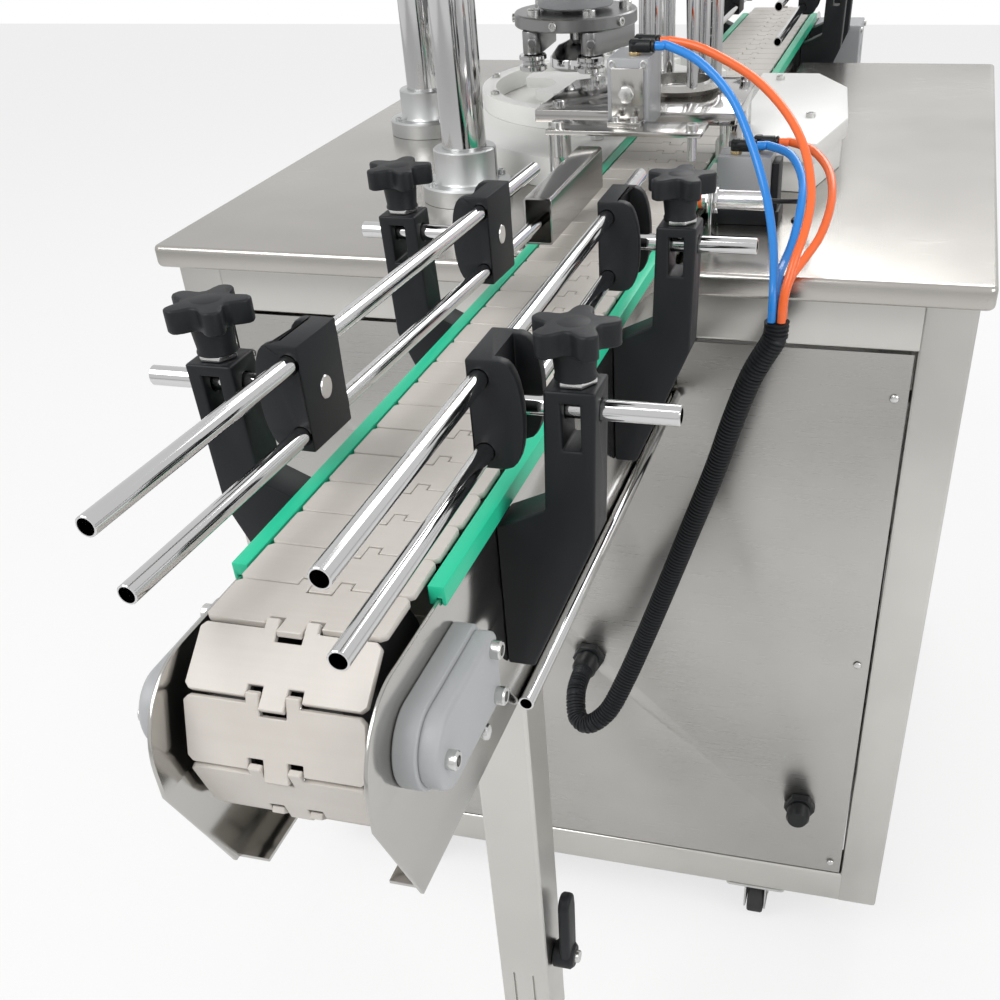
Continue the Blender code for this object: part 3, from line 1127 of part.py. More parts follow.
def roller_arm(name, turn, pivot_turn):
    """Arm from its pivot on the rotor to its roller, with rounded ends and a pivot bore."""
    pivot, tip = around_head(ARM_PIVOT, pivot_turn), around_head(ROLLER_CIRCLE, turn)
    heading = math.degrees(math.atan2(tip[1] - pivot[1], tip[0] - pivot[0]))
    outline = arc(pivot, 0.014, heading + 90, heading + 270, 8) + arc(tip, 0.011, heading - 90, heading + 90, 8)
    body = sheet([outline, circle(pivot, 0.0053, 12)], ARM_BOTTOM, ARM_TOP)
    axle = rod((*tip, ROLLER_BOTTOM), (*tip, ARM_BOTTOM + 0.001), 0.004, 12)
    node("roller_arm_" + name, "stainless", [fused(body, axle)], (*pivot, ARM_BOTTOM))
    waist = ROLLER_RADIUS - 0.004
    bore = 0.0043
    profile = [(ROLLER_RADIUS, ROLLER_TOP), (ROLLER_RADIUS, ROLLER_TOP - 0.005), (waist, ROLLER_TOP - 0.007),
               (waist, ROLLER_BOTTOM + 0.007), (ROLLER_RADIUS, ROLLER_BOTTOM + 0.005), (ROLLER_RADIUS, ROLLER_BOTTOM),
               (bore, ROLLER_BOTTOM), (bore, ROLLER_TOP)]
    node("roller_" + name, "chrome", [turned(profile, (*tip, 0), sides=16, ring=True)], (*tip, ROLLER_BOTTOM))


def seaming_chuck():
    """Chuck on the still rod that runs up through the hollow spindle into the motor's flange."""
    low = CHAIN_TOP + 0.058
    top = CARRIAGE_BOTTOM + PLATE_THICKNESS + 0.004
    profile = [(0.0, top), (CHUCK_ROD, top), (CHUCK_ROD, low + 0.030), (0.022, low + 0.024), (0.0325, low + 0.012),
               (0.0325, low + 0.003), (0.030, low), (0.0, low)]
    return turned(profile, (HEAD_X, HEAD_Y, 0), sides=16)


WHEEL_RADIUS = 0.060


def height_screw():
    """Screw hung in the top plate by its collar, with a spoked handwheel and a turned grip."""
    seat = TOP_PLATE_BOTTOM + PLATE_THICKNESS + GAP
    place = (SCREW_X, SCREW_Y, 0)
    rim_z = seat + 0.052
    profile = [(0.0, rim_z + 0.012), (0.014, rim_z + 0.012), (0.014, rim_z - 0.012), (SCREW_RADIUS, rim_z - 0.014),
               (SCREW_RADIUS, seat + 0.014), (0.020, seat + 0.014), (0.020, seat), (SCREW_RADIUS, seat),
               (SCREW_RADIUS, CARRIAGE_BOTTOM - 0.085), (0.0, CARRIAGE_BOTTOM - 0.085)]
    screw = turned(profile, place, sides=12)
    rim = [(WHEEL_RADIUS - 0.005, rim_z + 0.005), (WHEEL_RADIUS, rim_z + 0.003), (WHEEL_RADIUS, rim_z - 0.003),
           (WHEEL_RADIUS - 0.005, rim_z - 0.005), (WHEEL_RADIUS - 0.010, rim_z)]
    wheel = turned(rim, place, sides=20, ring=True)
    spokes = [rod((SCREW_X, SCREW_Y, rim_z),
                  (SCREW_X + (WHEEL_RADIUS - 0.004) * math.cos(turn), SCREW_Y + (WHEEL_RADIUS - 0.004) * math.sin(turn), rim_z),
                  0.0035, 8) for turn in (math.pi / 2, math.pi * 7 / 6, math.pi * 11 / 6)]
    grip_x = SCREW_X + WHEEL_RADIUS - 0.005
    grip = [(0.0, rim_z + 0.048), (0.009, rim_z + 0.044), (0.010, rim_z + 0.028), (0.007, rim_z + 0.008),
            (0.004, rim_z + 0.006), (0.004, rim_z), (0.0, rim_z)]
    handle = turned(grip, (grip_x, SCREW_Y, 0), sides=12)
    node("height_screw", "chrome", [fused(screw, wheel, handle, *spokes)], (SCREW_X, SCREW_Y, seat))


# Cords

CONDUIT_ROUTE = [
    (0.2335, -0.361, 0.8815), (0.2333, -0.361, 0.8740), (0.2310, -0.361, 0.8630), (0.2134, -0.358, 0.8286), (0.1973, -0.355, 0.781),
    (0.1812, -0.352, 0.725), (0.1571, -0.352, 0.6528), (0.1311, -0.357, 0.5754), (0.1100, -0.367, 0.515),
    (0.0930, -0.381, 0.470), (0.0760, -0.396, 0.434), (0.0540, -0.401, 0.414), (0.0370, -0.391, 0.414),
    (0.0300, -0.370, 0.430), (0.0290, -0.3500, 0.4365), (0.0290, -0.3343, 0.437)]
MOUTH = (0.2335, -0.361, 0.8815)
BUNDLE = 0.00435
TUBE_RADIUS = 0.004
FITTING_END = FITTING_REACH + GAP
LID_TUBE_Z = LID_CYLINDER[1][2] + FITTING_RISE
STOP_TUBE_Z = STOP_CYLINDER[1][2] + FITTING_RISE


def mouth_points(across, along):
    """Straight end of an air tube of the bundle above the conduit's mouth."""
    x, y, z = MOUTH[0] + across * BUNDLE, MOUTH[1] + along * BUNDLE, MOUTH[2] + 0.0010
    return [(x, y, z + rise) for rise in (0.013, 0.006, 0.0)]


def fitting_points(spot, level):
    """Straight start of an air tube at its fitting."""
    return [(spot[0] + FITTING_END + reach, spot[1], level) for reach in (0.0, 0.006, 0.013)]


AIR_TUBES = {
    "air_tube_blue_lid": ("blue", fitting_points(LID_FITTINGS[0], LID_TUBE_Z) + [
        (0.1266, -0.192, 1.0587), (0.1606, -0.2174, 1.036), (0.1851, -0.2461, 1.0048), (0.2051, -0.2749, 0.9697),
        (0.2170, -0.3060, 0.9450), (0.2240, -0.3340, 0.9270), (0.2280, -0.3580, 0.9110)] + mouth_points(-1, -1)),
    "air_tube_orange_lid": ("orange", fitting_points(LID_FITTINGS[1], LID_TUBE_Z) + [
        (0.1258, -0.158, 1.0629), (0.1775, -0.190, 1.0456), (0.2143, -0.2254, 1.0239), (0.2371, -0.2605, 1.0009),
        (0.2490, -0.2956, 0.9738), (0.2490, -0.3260, 0.9520), (0.2440, -0.3480, 0.9330), (0.2395, -0.3620, 0.9120)]
        + mouth_points(1, -1)),
    "air_tube_blue_stop": ("blue", fitting_points(STOP_FITTINGS[0], STOP_TUBE_Z) + [
        (0.2173, -0.1857, 0.9783), (0.2330, -0.2203, 0.9655), (0.2370, -0.2580, 0.9500), (0.2350, -0.2850, 0.9300),
        (0.2310, -0.3090, 0.9175), (0.2292, -0.3300, 0.9130), (0.2290, -0.3470, 0.9050)] + mouth_points(-1, 1)),
    "air_tube_orange_stop": ("orange", fitting_points(STOP_FITTINGS[1], STOP_TUBE_Z) + [
        (0.2362, -0.1657, 0.9780), (0.2560, -0.2053, 0.9700), (0.2640, -0.2480, 0.9560), (0.2600, -0.2850, 0.9360),
        (0.2480, -0.3120, 0.9200), (0.2410, -0.3320, 0.9130), (0.2382, -0.3480, 0.9040)] + mouth_points(1, 1)),
}
CABLE_RADIUS = 0.0022
CABLE_ROUTE = [
    (SENSOR_ENDS[1] + GAP, SENSOR_Y, SENSOR_Z), (0.2105, SENSOR_Y, SENSOR_Z), (0.2160, SENSOR_Y, SENSOR_Z),
    (0.2300, -0.2320, 0.9490), (0.2400, -0.2180, 0.9460), (0.2430, -0.2010, 0.9420), (0.2410, -0.1820, 0.9380),
    (0.2350, -0.1640, 0.9330), (0.2290, -0.1540, 0.9270), (0.2280, -0.1520, 0.9200), (0.2280, -0.1520, 0.9160),
    (0.2280, -0.1520, GROMMET_TOP + GAP)]


def smooth(points, steps):
    """Evenly parted points on the Catmull-Rom curve through a route."""
    knots = [Vector(point) for point in points]
    padded = [2 * knots[0] - knots[1]] + knots + [2 * knots[-1] - knots[-2]]
    curve = []
    for index in range(1, len(padded) - 2):
        before, start, end, after = padded[index - 1:index + 3]
        for step in range(steps):
            part = step / steps
            curve.append(0.5 * (2 * start + (end - before) * part
                                + (2 * before - 5 * start + 4 * end - after) * part ** 2
                                + (3 * start - before - 3 * end + after) * part ** 3))
    return curve + [knots[-1]]


def cord(name, finish, route, radius, resolution, steps):
    """Plain round cord along a smooth route."""
    curve = bpy.data.curves.new(name, "CURVE")
    curve.dimensions = "3D"
    curve.bevel_depth = radius
    curve.bevel_resolution = resolution
    curve.use_fill_caps = True
    places = smooth(route, steps)
    spline = curve.splines.new("POLY")
    spline.points.add(len(places) - 1)
    for point, place in zip(spline.points, places):
        point.co = (*place, 1.0)
    made = bpy.data.objects.new(name, curve)
    collection("work").objects.link(made)
    node(name, finish, [welded(baked(made))])


def cords():
    cord("conduit", "black", CONDUIT_ROUTE, CONDUIT_RADIUS, 2, 2)
    for name, (finish, route) in AIR_TUBES.items():
        cord(name, finish, route, TUBE_RADIUS, 1, 2)
    cord("sensor_cable", "black", CABLE_ROUTE, CABLE_RADIUS, 1, 2)


def main():
    clear_scene()
    cabinet_frame()
    front_panel()
    table()
    casters()
    slat_chain()
    conveyor_frame()
    wear_strips()
    wheels_and_shafts()
    bearing_housings()
    gearmotor()
    leg()
    guides()
    box_rail()
    wear_plates()
    star_wheel()
    star_drive()
    lift_disc()
    lid_plate()
    stop_cylinder()
    lid_yoke()
    can_stop()
    can_sensor()
    head_frame()
    head_carriage()
    seaming_rotor()
    for name, turns in ARM_TURNS.items():
        roller_arm(name, *turns)
    height_screw()
    cords()


main()
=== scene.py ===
"""Looks of the can sealing machine: conveyor, guides, cabinet, lid feed, star wheel and head."""
import math

import bpy
from mathutils import Matrix, Vector


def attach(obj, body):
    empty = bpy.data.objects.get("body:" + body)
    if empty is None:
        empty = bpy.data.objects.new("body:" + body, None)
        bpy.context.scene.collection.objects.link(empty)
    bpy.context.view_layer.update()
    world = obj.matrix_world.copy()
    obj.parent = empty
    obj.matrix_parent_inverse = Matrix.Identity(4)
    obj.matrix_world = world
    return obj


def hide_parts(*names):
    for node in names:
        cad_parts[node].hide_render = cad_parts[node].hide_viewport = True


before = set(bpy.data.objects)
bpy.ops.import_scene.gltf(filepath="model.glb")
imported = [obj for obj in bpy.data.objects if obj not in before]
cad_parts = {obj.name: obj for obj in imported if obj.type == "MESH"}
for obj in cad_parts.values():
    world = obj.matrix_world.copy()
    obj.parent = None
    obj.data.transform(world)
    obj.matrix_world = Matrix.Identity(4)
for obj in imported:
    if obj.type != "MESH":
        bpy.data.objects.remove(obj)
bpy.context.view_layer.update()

# Conveyor

LANE_X = 0.065
CHAIN_TOP = 0.940
CHAIN_PITCH = 0.0381
CHAIN_PLATE = 0.004
WHEEL_TEETH = 10
TURN = 360 / WHEEL_TEETH
TAIL_Y = -0.960
CARRY_PITCHES = 50
DRIVE_Y = TAIL_Y + CARRY_PITCHES * CHAIN_PITCH
MIDDLE_Y = (TAIL_Y + DRIVE_Y) / 2
APOTHEM = CHAIN_PITCH / (2 * math.tan(math.radians(TURN / 2)))
WHEEL_Z = CHAIN_TOP - CHAIN_PLATE - APOTHEM
SHAFT_RADIUS, SHAFT_BORE = 0.010, 0.011
SIDE_INNER, SIDE_OUTER, SIDE_FACE = 0.058, 0.0605, 0.0608
SIDE_TOP, SIDE_BOTTOM = CHAIN_TOP - 0.009, CHAIN_TOP - 0.160
SIDE_END = TAIL_Y - 0.082
TRACK_BOTTOM = CHAIN_TOP - CHAIN_PLATE - 0.0123
RETURN_Z = WHEEL_Z - APOTHEM - CHAIN_PLATE
BARS = (-0.870, -0.640, -0.390, 0.020, 0.420, 0.700, 0.855)

# Can guides

INFEED_BRACKETS = {"near": -0.820, "far": -0.525}
OUTFEED_BRACKETS = {"near": 0.725, "far": 0.862}
ROD_Z = CHAIN_TOP + 0.057
COLUMN_IN, COLUMN_MIDDLE, COLUMN_OUT = 0.095, 0.110, 0.125
COLUMN_TOP = CHAIN_TOP + 0.072
RAIL_HEIGHTS = (0.080, 0.037)
KNOB_TOP, KNOB_RADIUS, KNOB_LOBES = CHAIN_TOP + 0.106, 0.026, 5

# Cabinet and leg

TABLE_TOP = 0.908
TABLE_FOOT = TABLE_TOP + 0.0003
TABLE_HALF, TABLE_FRONT, TABLE_BACK = 0.421, -0.323, 0.668
HALF_WIDTH, FRONT, BACK = 0.410, -0.300, 0.645
LOW, TOP, TUBE = 0.081, 0.886, 0.050
SLOT_HALF = 0.066
NOTCH_BOTTOM = SIDE_BOTTOM - 0.003
CASTER_X, CASTER_FRONT, CASTER_BACK = 0.250, -0.275, 0.620
WHEEL_RADIUS = 0.0325
CONDUIT_GLAND, SPARE_GLAND = (0.029, 0.437), (0.298, 0.244)
GROMMET = (0.228, -0.152)
LEG_Y, LEVER_Z = -0.687, 0.352

# Table devices

LID_TOP = CHAIN_TOP + 0.062
LID_HOLE = (0.075, -0.020)
LID_CYLINDER = ((0.036, -0.187, 0.998), (0.077, -0.129, 1.060))
STOP_CYLINDER = ((0.143, -0.172, 0.922), (0.197, -0.132, 0.972))
LID_FITTINGS = ((0.060, -0.172), (0.060, -0.148))
STOP_FITTINGS = ((0.160, -0.160), (0.180, -0.144))
FITTING_RISE = 0.008
SENSOR_LINE = (-0.237, 0.950)

# Star wheel and head

STAR = (-0.047, 0.240)
STAR_RADIUS, STAR_POCKETS, CAN_RADIUS = 0.130, 7, 0.0375
RING_INNER = STAR_RADIUS + CAN_RADIUS
HEAD_TURN = math.radians(-720 / STAR_POCKETS)
HEAD = (STAR[0] + STAR_RADIUS * math.cos(HEAD_TURN), STAR[1] + STAR_RADIUS * math.sin(HEAD_TURN))
PILLARS = ((-0.146, -0.108), (-0.302, 0.183), (-0.056, 0.485))
PILLAR_RADIUS = 0.024
SCREW_SPOT = (-0.190, 0.220)
TOP_PLATE, CARRIAGE = 1.600, 1.225
PLATE_MARGIN, HEAD_MARGIN = 0.060, 0.090

UPWARD = (0, 0, 1)
SMOOTH_ANGLE = math.radians(35)
WELD = 0.00001


# Finishes

class Level:
    """A shader value that adds its Math nodes when it is used in a sum."""

    def __init__(self, tree, socket):
        self.tree = tree
        self.socket = socket

    def _with(self, operation, first, second):
        node = self.tree.nodes.new("ShaderNodeMath")
        node.operation = operation
        for socket, given in zip(node.inputs, (first, second)):
            if isinstance(given, Level):
                self.tree.links.new(given.socket, socket)
            else:
                socket.default_value = given
        return Level(self.tree, node.outputs[0])

    def __add__(self, other):
        return self._with("ADD", self, other)

    def __radd__(self, other):
        return self._with("ADD", other, self)

    def __sub__(self, other):
        return self._with("SUBTRACT", self, other)

    def __rsub__(self, other):
        return self._with("SUBTRACT", other, self)

    def __mul__(self, other):
        return self._with("MULTIPLY", self, other)

    def __rmul__(self, other):
        return self._with("MULTIPLY", other, self)


class Finish:
    """A material with its Principled shader and one way to add any other node."""

    def __init__(self, name, colour, roughness, metallic=0.0, specular=0.5):
        self.material = bpy.data.materials.new(name)
        self.material.use_nodes = True
        self.tree = self.material.node_tree
        self.shader = self.tree.nodes["Principled BSDF"]
        self.shader.inputs["Base Color"].default_value = (*colour, 1.0)
        self.shader.inputs["Roughness"].default_value = roughness
        self.shader.inputs["Metallic"].default_value = metallic
        self.shader.inputs["Specular IOR Level"].default_value = specular
        self.place = self.node("ShaderNodeTexCoord").outputs["Object"]

    def node(self, kind, settings=(), **inputs):
        made = self.tree.nodes.new(kind)
        for key, given in dict(settings).items():
            setattr(made, key, given)
        for key, given in inputs.items():
            socket = made.inputs[key.replace("_", " ")]
            if isinstance(given, Level):
                self.tree.links.new(given.socket, socket)
            elif isinstance(given, bpy.types.NodeSocket):
                self.tree.links.new(given, socket)
            else:
                socket.default_value = given
        return made

    def noise(self, stretch, scale, detail=3.0):
        mapped = self.node("ShaderNodeMapping", Vector=self.place, Scale=stretch).outputs["Vector"]
        made = self.node("ShaderNodeTexNoise", Vector=mapped, Scale=scale, Detail=detail)
        return Level(self.tree, made.outputs["Fac"])

    def axis(self, index):
        return Level(self.tree, self.node("ShaderNodeSeparateXYZ", Vector=self.place).outputs[index])

    def feed(self, socket, level):
        self.tree.links.new(level.socket, self.shader.inputs[socket])

    def shades(self, mask, first, second):
        mix = self.node("ShaderNodeMix", {"data_type": "RGBA"})
        self.tree.links.new(mask.socket, mix.inputs[0])
        mix.inputs[6].default_value = (*first, 1.0)
        mix.inputs[7].default_value = (*second, 1.0)
        self.tree.links.new(mix.outputs[2], self.shader.inputs["Base Color"])

    def bump(self, height, strength, distance):
        made = self.node("ShaderNodeBump", Height=height, Strength=strength, Distance=distance)
        self.tree.links.new(made.outputs["Normal"], self.shader.inputs["Normal"])


def brushed(name, colour, roughness, stretch, depth=0.10):
    made = Finish(name, colour, roughness, 1.0)
    grain = made.noise(stretch, 60.0)
    # The broad cloud varies roughness and also paints mottled reflections into the colour: lighter and darker
    # patches from 0.78 to 1.16 of the base colour.
    reflection_and_roughness_cloud = made.noise((1.0, 1.0, 1.0), 5.0)
    made.feed("Roughness", roughness - 0.07 + grain * 0.10 + reflection_and_roughness_cloud * 0.06)
    made.shades(reflection_and_roughness_cloud, [c * 0.78 for c in colour], [min(1.0, c * 1.16) for c in colour])
    made.bump(grain, depth, 0.0002)
    return made.material


def polished(name, colour, roughness):
    made = Finish(name, colour, roughness, 1.0)
    haze = made.noise((1.0, 1.0, 1.0), 9.0)
    made.feed("Roughness", roughness * 0.7 + haze * (roughness * 0.6))
    made.shades(haze, [c * 0.94 for c in colour], [min(1.0, c * 1.04) for c in colour])
    return made.material


def moulded(name, colour, roughness, grain=700.0, depth=0.15, wear=0.15, specular=0.5):
    made = Finish(name, colour, roughness, specular=specular)
    fine = made.noise((1.0, 1.0, 1.0), grain)
    broad = made.noise((1.0, 1.0, 1.0), 14.0)
    made.feed("Roughness", roughness - 0.05 + fine * 0.06 + broad * 0.08)
    made.shades(broad, [c * (1.0 - wear) for c in colour], [min(1.0, c * (1.0 + wear)) for c in colour])
    made.bump(fine, depth, 0.0002)
    return made.material


def ribbed(name, colour, roughness, axis, pitch, metallic=0.0, depth=0.6):
    """Turned thread or ribs across one axis."""
    made = Finish(name, colour, roughness, metallic)
    along = made.axis(axis) * (2 * math.pi / pitch)
    wave = made.node("ShaderNodeMath", {"operation": "SINE"})
    made.tree.links.new(along.socket, wave.inputs[0])
    made.bump(Level(made.tree, wave.outputs[0]), depth, pitch * 0.25)
    return made.material


def chain_plastic():
    made = Finish("slat_plastic", (0.60, 0.56, 0.52), 0.42)
    broad = made.noise((1.0, 0.35, 1.0), 30.0)
    fine = made.noise((1.0, 1.0, 1.0), 900.0)
    scuffs = made.noise((0.25, 9.0, 1.0), 40.0, 5.0)
    made.shades(broad * 0.7 + scuffs * 0.3, (0.52, 0.48, 0.44), (0.68, 0.645, 0.60))
    made.feed("Roughness", 0.30 + fine * 0.08 + scuffs * 0.20)
    made.bump(fine, 0.15, 0.0002)
    return made.material


STEEL_LONG = brushed("brushed_along", (0.50, 0.49, 0.47), 0.24, (12.0, 0.5, 12.0))
STEEL_UP = brushed("brushed_upright", (0.62, 0.61, 0.58), 0.30, (14.0, 14.0, 0.4))
STEEL_TABLE = brushed("brushed_table", (0.52, 0.50, 0.47), 0.24, (0.5, 14.0, 6.0))
STEEL_PANEL = brushed("brushed_panel", (0.50, 0.49, 0.47), 0.28, (0.4, 10.0, 14.0))
MIRROR_STEEL = polished("mirror_steel", (0.50, 0.49, 0.47), 0.16)
CHROME = polished("bright_chrome", (0.66, 0.66, 0.66), 0.08)
ZINC = polished("zinc_screw", (0.66, 0.66, 0.65), 0.26)
BRASS = polished("nickel_brass", (0.72, 0.56, 0.30), 0.22)
CAST = moulded("cast_metal", (0.42, 0.43, 0.44), 0.42, 500.0, 0.30, 0.08)
FLANGE = brushed("turned_aluminium", (0.60, 0.61, 0.61), 0.34, (2.0, 2.0, 14.0))
ANODISED = moulded("anodised_block", (0.36, 0.37, 0.38), 0.36, 900.0, 0.06, 0.05)
BLACK = moulded("black_moulding", (0.010, 0.011, 0.013), 0.46, 600.0, 0.18, 0.30, 0.28)
GLOSS_BLACK = moulded("black_gland", (0.008, 0.009, 0.010), 0.32, 300.0, 0.05, 0.30, 0.35)
RUBBER = moulded("tread_rubber", (0.030, 0.030, 0.031), 0.72, 400.0, 0.25, 0.20)
WHITE = moulded("white_plate", (0.80, 0.80, 0.78), 0.38, 800.0, 0.10, 0.04)
GREEN = moulded("green_strip", (0.022, 0.56, 0.32), 0.34, 500.0, 0.10, 0.08)
SLATS = chain_plastic()
BLUE = moulded("blue_tube", (0.020, 0.24, 0.72), 0.22, 60.0, 0.02, 0.10)
ORANGE = moulded("orange_tube", (0.95, 0.16, 0.035), 0.22, 60.0, 0.02, 0.08)
DARK_PLASTIC = moulded("dark_wheel", (0.055, 0.055, 0.056), 0.50, 400.0, 0.15, 0.20)
DARK_STEEL = brushed("dark_steel", (0.30, 0.30, 0.30), 0.30, (3.0, 3.0, 12.0))
DARK_MIRROR = polished("dark_mirror", (0.42, 0.41, 0.40), 0.12)
MOTOR_PAINT = moulded("motor_paint", (0.20, 0.24, 0.27), 0.42, 300.0, 0.12, 0.08)
THREAD = ribbed("sensor_thread", (0.80, 0.80, 0.80), 0.16, 0, 0.001, 1.0)
SCREW_STEEL = ribbed("screw_thread", (0.70, 0.70, 0.70), 0.22, 2, 0.004, 1.0)


# Shaping tools

def deselect():
    if bpy.context.object and bpy.context.object.mode != "OBJECT":
        bpy.ops.object.mode_set(mode="OBJECT")
    bpy.ops.object.select_all(action="DESELECT")


def pick(*pieces):
    deselect()
    for piece in pieces:
        piece.select_set(True)
    bpy.context.view_layer.objects.active = pieces[0]


def modifier(piece, kind, **settings):
    """Adds a modifier, sets it and applies it."""
    pick(piece)
    made = piece.modifiers.new(kind.lower(), kind)
    for key, given in settings.items():
        setattr(made, key, given)
    bpy.ops.object.modifier_apply(modifier=made.name)


def soften(piece, width, segments=2):
    modifier(piece, "BEVEL", width=width, segments=segments, limit_method="ANGLE", angle_limit=SMOOTH_ANGLE)


def settle(piece, name, material, body, nodes=()):
    """Names the piece, smooths it, gives it its finish, and lets it ride and stand for its nodes."""
    pick(piece)
    bpy.ops.object.transform_apply(location=True, rotation=True, scale=True)
    if piece.type == "MESH":
        bpy.ops.object.shade_smooth_by_angle(angle=SMOOTH_ANGLE)
    piece.name = name
    piece.data.materials.clear()
    piece.data.materials.append(material)
    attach(piece, body)
    if nodes:
        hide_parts(*nodes)


def joined(pieces):
    if len(pieces) == 1:
        return pieces[0]
    pick(*pieces)
    bpy.ops.object.join()
    return bpy.context.view_layer.objects.active


TO_PLANE = {
    "XY": lambda across, along, level: (across, along, level),
    "XZ": lambda across, along, level: (across, level, along),
    "YZ": lambda across, along, level: (level, across, along),
}


def prism(outline, low, high, plane="XY", bevel=0.0, segments=2):
    """A filled outline pulled to its thickness, its edges softened."""
    deselect()
    bpy.ops.mesh.primitive_circle_add(vertices=len(outline), fill_type="NGON")
    piece = bpy.context.object
    for vertex, (across, along) in zip(piece.data.vertices, outline):
        vertex.co = TO_PLANE[plane](across, along, low)
    bpy.ops.object.mode_set(mode="EDIT")
    bpy.ops.mesh.select_all(action="SELECT")
    bpy.ops.mesh.extrude_region_move(TRANSFORM_OT_translate={"value": TO_PLANE[plane](0, 0, high - low)})
    bpy.ops.mesh.select_all(action="SELECT")
    bpy.ops.mesh.normals_make_consistent(inside=False)
    bpy.ops.object.mode_set(mode="OBJECT")
    if bevel:
        soften(piece, bevel, segments)
    return piece


def turned(profile, base, direction=UPWARD, steps=48):
    """A closed (radius, height) outline spun round an axis through base."""
    deselect()
    bpy.ops.mesh.primitive_circle_add(vertices=len(profile), fill_type="NOTHING")
    piece = bpy.context.object
    for vertex, (radius, height) in zip(piece.data.vertices, profile):
        vertex.co = (radius, 0, height)
    modifier(piece, "SCREW", steps=steps, render_steps=steps, use_merge_vertices=True, merge_threshold=WELD)
    bpy.ops.object.mode_set(mode="EDIT")
    bpy.ops.mesh.select_all(action="SELECT")
    bpy.ops.mesh.remove_doubles(threshold=WELD)
    bpy.ops.mesh.dissolve_degenerate(threshold=WELD)
    bpy.ops.mesh.select_all(action="SELECT")
    bpy.ops.mesh.normals_make_consistent(inside=False)
    bpy.ops.object.mode_set(mode="OBJECT")
    turn = Vector(direction).to_track_quat("Z", "Y").to_matrix().to_4x4()
    piece.data.transform(Matrix.Translation(Vector(base)) @ turn)
    return piece


def round_bar(start, end, radius, steps=32, bevel=0.0006):
    """Solid round bar with broken edges."""
    length = (Vector(end) - Vector(start)).length
    profile = [(0.0, length), (radius - bevel, length), (radius, length - bevel), (radius, bevel),
               (radius - bevel, 0.0), (0.0, 0.0)]
    return turned(profile, start, Vector(end) - Vector(start), steps)


def pipe(start, end, outer, inner, steps=32):
    length = (Vector(end) - Vector(start)).length
    lip = (outer - inner) * 0.35
    profile = [(outer - lip, length), (outer, length - lip), (outer, lip), (outer - lip, 0.0), (inner, 0.0),
               (inner, length)]
    return turned(profile, start, Vector(end) - Vector(start), steps)


def block(low, high, bevel=0.001, segments=2):
    deselect()
    bpy.ops.mesh.primitive_cube_add(size=1.0)
    piece = bpy.context.object
    low, high = Vector(low), Vector(high)
    piece.data.transform(Matrix.Translation((low + high) / 2) @ Matrix.Diagonal((*(high - low), 1.0)))
    if bevel:
        soften(piece, bevel, segments)
    return piece


def carve(piece, *cutters):
    for cutter in cutters:
        modifier(piece, "BOOLEAN", object=cutter, operation="DIFFERENCE", solver="EXACT")
        bpy.data.objects.remove(cutter)


def on_circle(centre, radius, degrees):
    turn = math.radians(degrees)
    return (centre[0] + radius * math.cos(turn), centre[1] + radius * math.sin(turn))


def arc(centre, radius, start, end, steps):
    return [on_circle(centre, radius, start + (end - start) * step / steps) for step in range(steps + 1)]


def hexagon(centre, radius):
    return arc(centre, radius, 0, 300, 5)


def rounded(low, high, radius, steps=5):
    corners = (((high[0] - radius, high[1] - radius), 0), ((low[0] + radius, high[1] - radius), 90),
               ((low[0] + radius, low[1] + radius), 180), ((high[0] - radius, low[1] + radius), 270))
    return [point for centre, start in corners for point in arc(centre, radius, start, start + 90, steps)]


def socket_screw(centre, direction, radius, height):
    """Cap screw with a round recess for its socket."""
    return turned([(0.0, height * 0.45), (radius * 0.52, height * 0.45), (radius * 0.56, height),
                   (radius * 0.86, height), (radius, height * 0.86), (radius, 0.0), (0.0, 0.0)], centre,
                  direction, 24)


def upright_screws(spots, level, radius, height):
    return [socket_screw((*spot, level), UPWARD, radius, height) for spot in spots]


def dome_screw(centre, direction, radius, height):
    return turned([(0.0, height), (radius * 0.5, height * 0.92), (radius * 0.85, height * 0.6),
                   (radius, 0.0002), (radius, 0.0), (0.0, 0.0)], centre, direction, 20)


# Conveyor

def slat_chain():
    """Every slat, modelled once with its middle lug between the next one's two, and copied round the loop."""
    half, edge = 0.0508, (CHAIN_PITCH - 0.0011) / 2
    middle, side, reach, slack, corner = 0.007, 0.015, 0.006, 0.0006, 0.003
    notch = edge - reach - slack
    right = [(middle, -edge - reach), (middle, -notch), (side + slack, -notch), (side + slack, -edge),
             (half - corner, -edge), (half, corner - edge), (half, edge - corner), (half - corner, edge),
             (side, edge), (side, edge + reach), (middle + slack, edge + reach), (middle + slack, notch)]
    outline = right + [(-across, along) for across, along in reversed(right)]
    slat = prism(outline, 0.0, CHAIN_PLATE, "XY", 0.0005, 1)
    places = [(TAIL_Y + step * CHAIN_PITCH, 0.0) for step in range(CARRY_PITCHES + 1)]
    half_turn = WHEEL_TEETH // 2
    places += [(DRIVE_Y, step * TURN) for step in range(1, half_turn + 1)]
    places += [(DRIVE_Y - step * CHAIN_PITCH, 180.0) for step in range(1, CARRY_PITCHES + 1)]
    places += [(TAIL_Y, 180.0 + step * TURN) for step in range(1, half_turn)]
    pin_reach, pin_y, pin_z = 0.0155, CHAIN_PITCH / 2, CHAIN_PLATE / 2
    pin = round_bar((-pin_reach, pin_y, pin_z), (pin_reach, pin_y, pin_z), 0.0012, 12, 0.0003)
    for model, name, material, slot, nodes in ((slat, "chain_slats", SLATS, "chain_plastic", ["slat_chain"]),
                                               (pin, "chain_pins", ZINC, "polished_steel", [])):
        copies = []
        for y, degrees in places:
            data = model.data.copy()
            turn = Matrix.Rotation(math.radians(-degrees), 4, "X")
            place = Matrix.Translation((LANE_X, y, WHEEL_Z)) @ turn
            data.transform(place @ Matrix.Translation((0, 0, APOTHEM)))
            copy = bpy.data.objects.new("link", data)
            bpy.context.scene.collection.objects.link(copy)
            copies.append(copy)
        bpy.data.objects.remove(model)
        settle(joined(copies), name, material, "machine", nodes)


